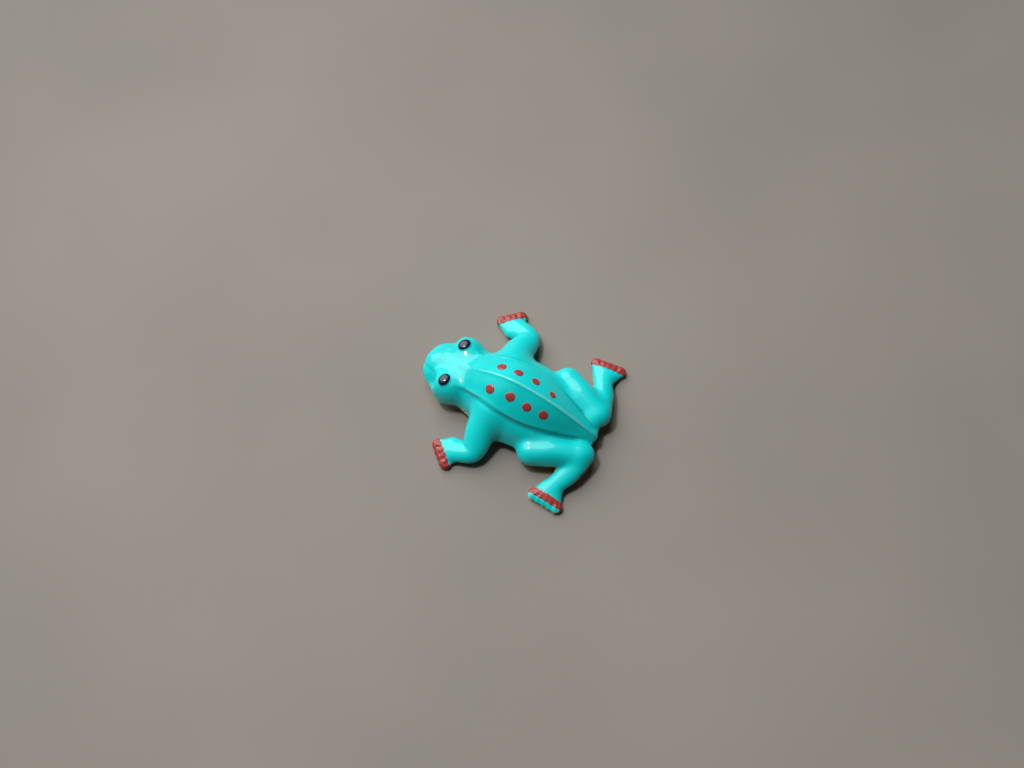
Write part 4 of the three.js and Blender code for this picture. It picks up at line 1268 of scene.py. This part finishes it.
    def toes(self, name: str, foot: Foot, shift: float, hand: Hand, finish: bpy.types.Material) -> None:
        """Coats the toe tips of one foot with a slight film that follows the lobes.

        Args:
            name: The piece's name.
            foot: The foot it goes on.
            shift: How far forward of its drawn place the foot is.
            hand: The side of the frog.
            finish: Its material.
        """
        surface = self.skins.surface
        angle = math.radians(foot.turn)
        tip = np.array([foot.x + shift + foot.toe_x * math.cos(angle), foot.y + foot.toe_x * math.sin(angle)])
        reach = foot.width / 2 + self.toe_room
        low = (tip[0] - reach, tip[1] - reach, self.toe_heights[0])
        high = (tip[0] + reach, tip[1] + reach, self.toe_heights[1])
        lattice = Lattice(low, high, self.fine)
        x, y, z = np.meshgrid(*lattice.axes, indexing="ij")
        points = np.stack([x.ravel(), y.ravel() * hand.value, z.ravel()], 1)
        skin = surface.at(points).reshape(x.shape)
        u, v = foot.local(x - shift, y)
        lobes = self.lobe * np.cos(2 * math.pi * (v - foot.middles()[0]) / foot.pitch)
        start, end = foot.paint_left if hand is Hand.LEFT else foot.paint_right
        inner, outer = foot.toe_x + start - lobes, foot.toe_x + end + lobes
        lowest = self.skins.seam_foot_z + self.skins.seam_gap
        region = np.maximum.reduce([inner - u, u - outer, np.abs(v) - foot.width / 2 - 0.1, lowest - z])
        film = np.maximum(skin - self.film, -(skin + self.film_sunk))
        values = smooth_max(film, region, self.film_edge)
        vertices, faces = net(lattice, values)
        vertices[:, 1] *= hand.value
        faces = faces if hand is Hand.LEFT else faces[:, ::-1]
        make_piece(name, vertices, faces, finish, self.skins.shift)


@dataclass
class Movement:
    """The clockwork between the skins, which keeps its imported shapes."""

    brass: tuple[str, ...] = (
        "movement_lower_plate", "movement_upper_plate", "great_wheel", "second_wheel", "face_cam")
    springs: tuple[str, ...] = ("mainspring", "click_spring", "kick_spring")
    plated: tuple[str, ...] = ("key_bow", "key_head", "kick_lever")

    def build(self) -> None:
        """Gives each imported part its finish: turned steel unless it is named above."""
        finishes = {name: metal.material() for name, metal in METALS.items()}
        named = {**dict.fromkeys(self.brass, "brass_plate"), **dict.fromkeys(self.plated, "nickel_plate"),
                 **dict.fromkeys(self.springs, "blued_spring_steel")}
        for node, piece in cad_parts.items():
            if piece.hide_render:
                continue
            name = named.get(node, "turned_steel")
            piece.data.materials.clear()
            piece.data.materials.append(finishes[name])
            LOG.info("%s: %s", node, name)


@dataclass
class Studio:
    """A plain pale floor, soft light from the upper left, and the camera."""

    right: tuple[float, float, float] = (-0.8894, -0.4571, 0.0)
    up: tuple[float, float, float] = (0.4253, -0.8275, 0.3665)
    toward: tuple[float, float, float] = (-0.1675, 0.3260, 0.9304)
    middle: tuple[float, float, float] = (0.0, 0.0, 4.0)
    aside: float = -0.878
    above: float = 3.227
    distance: float = 230.0
    lens: float = 36.39
    floor: str = "#87817A"
    floor_light: str = "#8E887F"
    room: str = "#DCE6F2"
    room_strength: float = 0.05
    # Ways to the lights, as shares of right, up and towards the camera.
    sky_way: tuple[float, float, float] = (-0.5, 0.95, 0.52)
    lamp_way: tuple[float, float, float] = (-0.35, 0.55, 0.9)
    sky_power: float = 3.0
    sky_angle: float = 66.0
    lamp_far: float = 320.0
    lamp_size: float = 0.045
    lamp_power: float = 0.42
    floor_side: float = 6.0

    def build(self, shift: float) -> None:
        """Sets up the whole studio.

        Args:
            shift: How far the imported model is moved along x, in millimetres.
        """
        right, up, toward = (Vector(v) for v in (self.right, self.up, self.toward))
        target = Vector(self.middle) + self.aside * right + self.above * up + Vector((shift, 0, 0))
        camera = bpy.data.objects.new("camera", bpy.data.cameras.new("camera"))
        camera.data.lens, camera.data.sensor_width = self.lens, 36.0
        camera.data.clip_start, camera.data.clip_end = 0.01, 20.0
        axes = Matrix((right, up, toward)).transposed().to_4x4()
        camera.matrix_world = Matrix.Translation((target + self.distance * toward) * MM) @ axes
        bpy.context.scene.collection.objects.link(camera)
        bpy.context.scene.camera = camera
        sky_way, lamp_way = (a * right + b * up + c * toward for a, b, c in (self.sky_way, self.lamp_way))
        self.sky(sky_way)
        self.lamp("glint", target, lamp_way)
        self.ground()
        world = bpy.data.worlds.new("room")
        bpy.context.scene.world = world
        world.use_nodes = True
        back = world.node_tree.nodes["Background"]
        back.inputs["Color"].default_value = linear(self.room)
        back.inputs["Strength"].default_value = self.room_strength
        bpy.context.scene.view_settings.view_transform = "Standard"

    def sky(self, way: Vector) -> None:
        """Lights everything evenly from one wide soft patch of window sky.

        Args:
            way: The way to it.
        """
        data = bpy.data.lights.new("window", "SUN")
        data.energy, data.angle = self.sky_power, math.radians(self.sky_angle)
        window = bpy.data.objects.new("window", data)
        window.rotation_mode = "QUATERNION"
        window.rotation_quaternion = way.normalized().to_track_quat("Z", "Y")
        bpy.context.scene.collection.objects.link(window)

    def lamp(self, name: str, target: Vector, way: Vector) -> None:
        """Hangs a small round light that faces the toy and gives the crisp highlights.

        Args:
            name: The light's name.
            target: Where it points, in millimetres.
            way: The way from there to it.
        """
        data = bpy.data.lights.new(name, "AREA")
        data.shape, data.size, data.energy = "DISK", self.lamp_size, self.lamp_power
        lamp = bpy.data.objects.new(name, data)
        way = way.normalized()
        lamp.location = (target + self.lamp_far * way) * MM
        lamp.rotation_mode = "QUATERNION"
        lamp.rotation_quaternion = way.to_track_quat("Z", "Y")
        bpy.context.scene.collection.objects.link(lamp)

    def ground(self) -> None:
        """Lays a wide plain board under the toy."""
        mesh = bpy.data.meshes.new("floor")
        side = self.floor_side
        mesh.from_pydata([(-side, -side, 0), (side, -side, 0), (side, side, 0), (-side, side, 0)], [],
                         [(0, 1, 2, 3)])
        matt = bpy.data.materials.new("matt_board")
        matt.use_nodes = True
        tree = matt.node_tree
        shader = tree.nodes["Principled BSDF"]
        place = add_node(tree, "ShaderNodeTexCoord").outputs["Object"]
        cloud = add_node(tree, "ShaderNodeTexNoise", links={"Vector": place, "Scale": 14.0, "Detail": 2.0})
        tone = ramp(add_node(tree, "ShaderNodeValToRGB", links={"Fac": cloud.outputs["Fac"]}),
                    [(0.3, linear(self.floor)), (0.7, linear(self.floor_light))])
        tree.links.new(tone.outputs["Color"], shader.inputs["Base Color"])
        shader.inputs["Roughness"].default_value = 0.75
        mesh.materials.append(matt)
        floor = bpy.data.objects.new("floor", mesh)
        bpy.context.scene.collection.objects.link(floor)


def main() -> None:
    """Builds every sub-assembly in order."""
    logging.basicConfig(level=logging.INFO, format="%(name)s %(message)s")
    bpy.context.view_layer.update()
    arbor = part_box("key_pin")
    shift = (arbor[0].x + arbor[1].x) / 2 / MM - DRAWN_WINDING_X
    Studio().build(shift)
    skins = Skins(FrogForm(), shift)
    skins.build()
    Paintwork(skins).build()
    Movement().build()


if __name__ == "__main__":
    main()
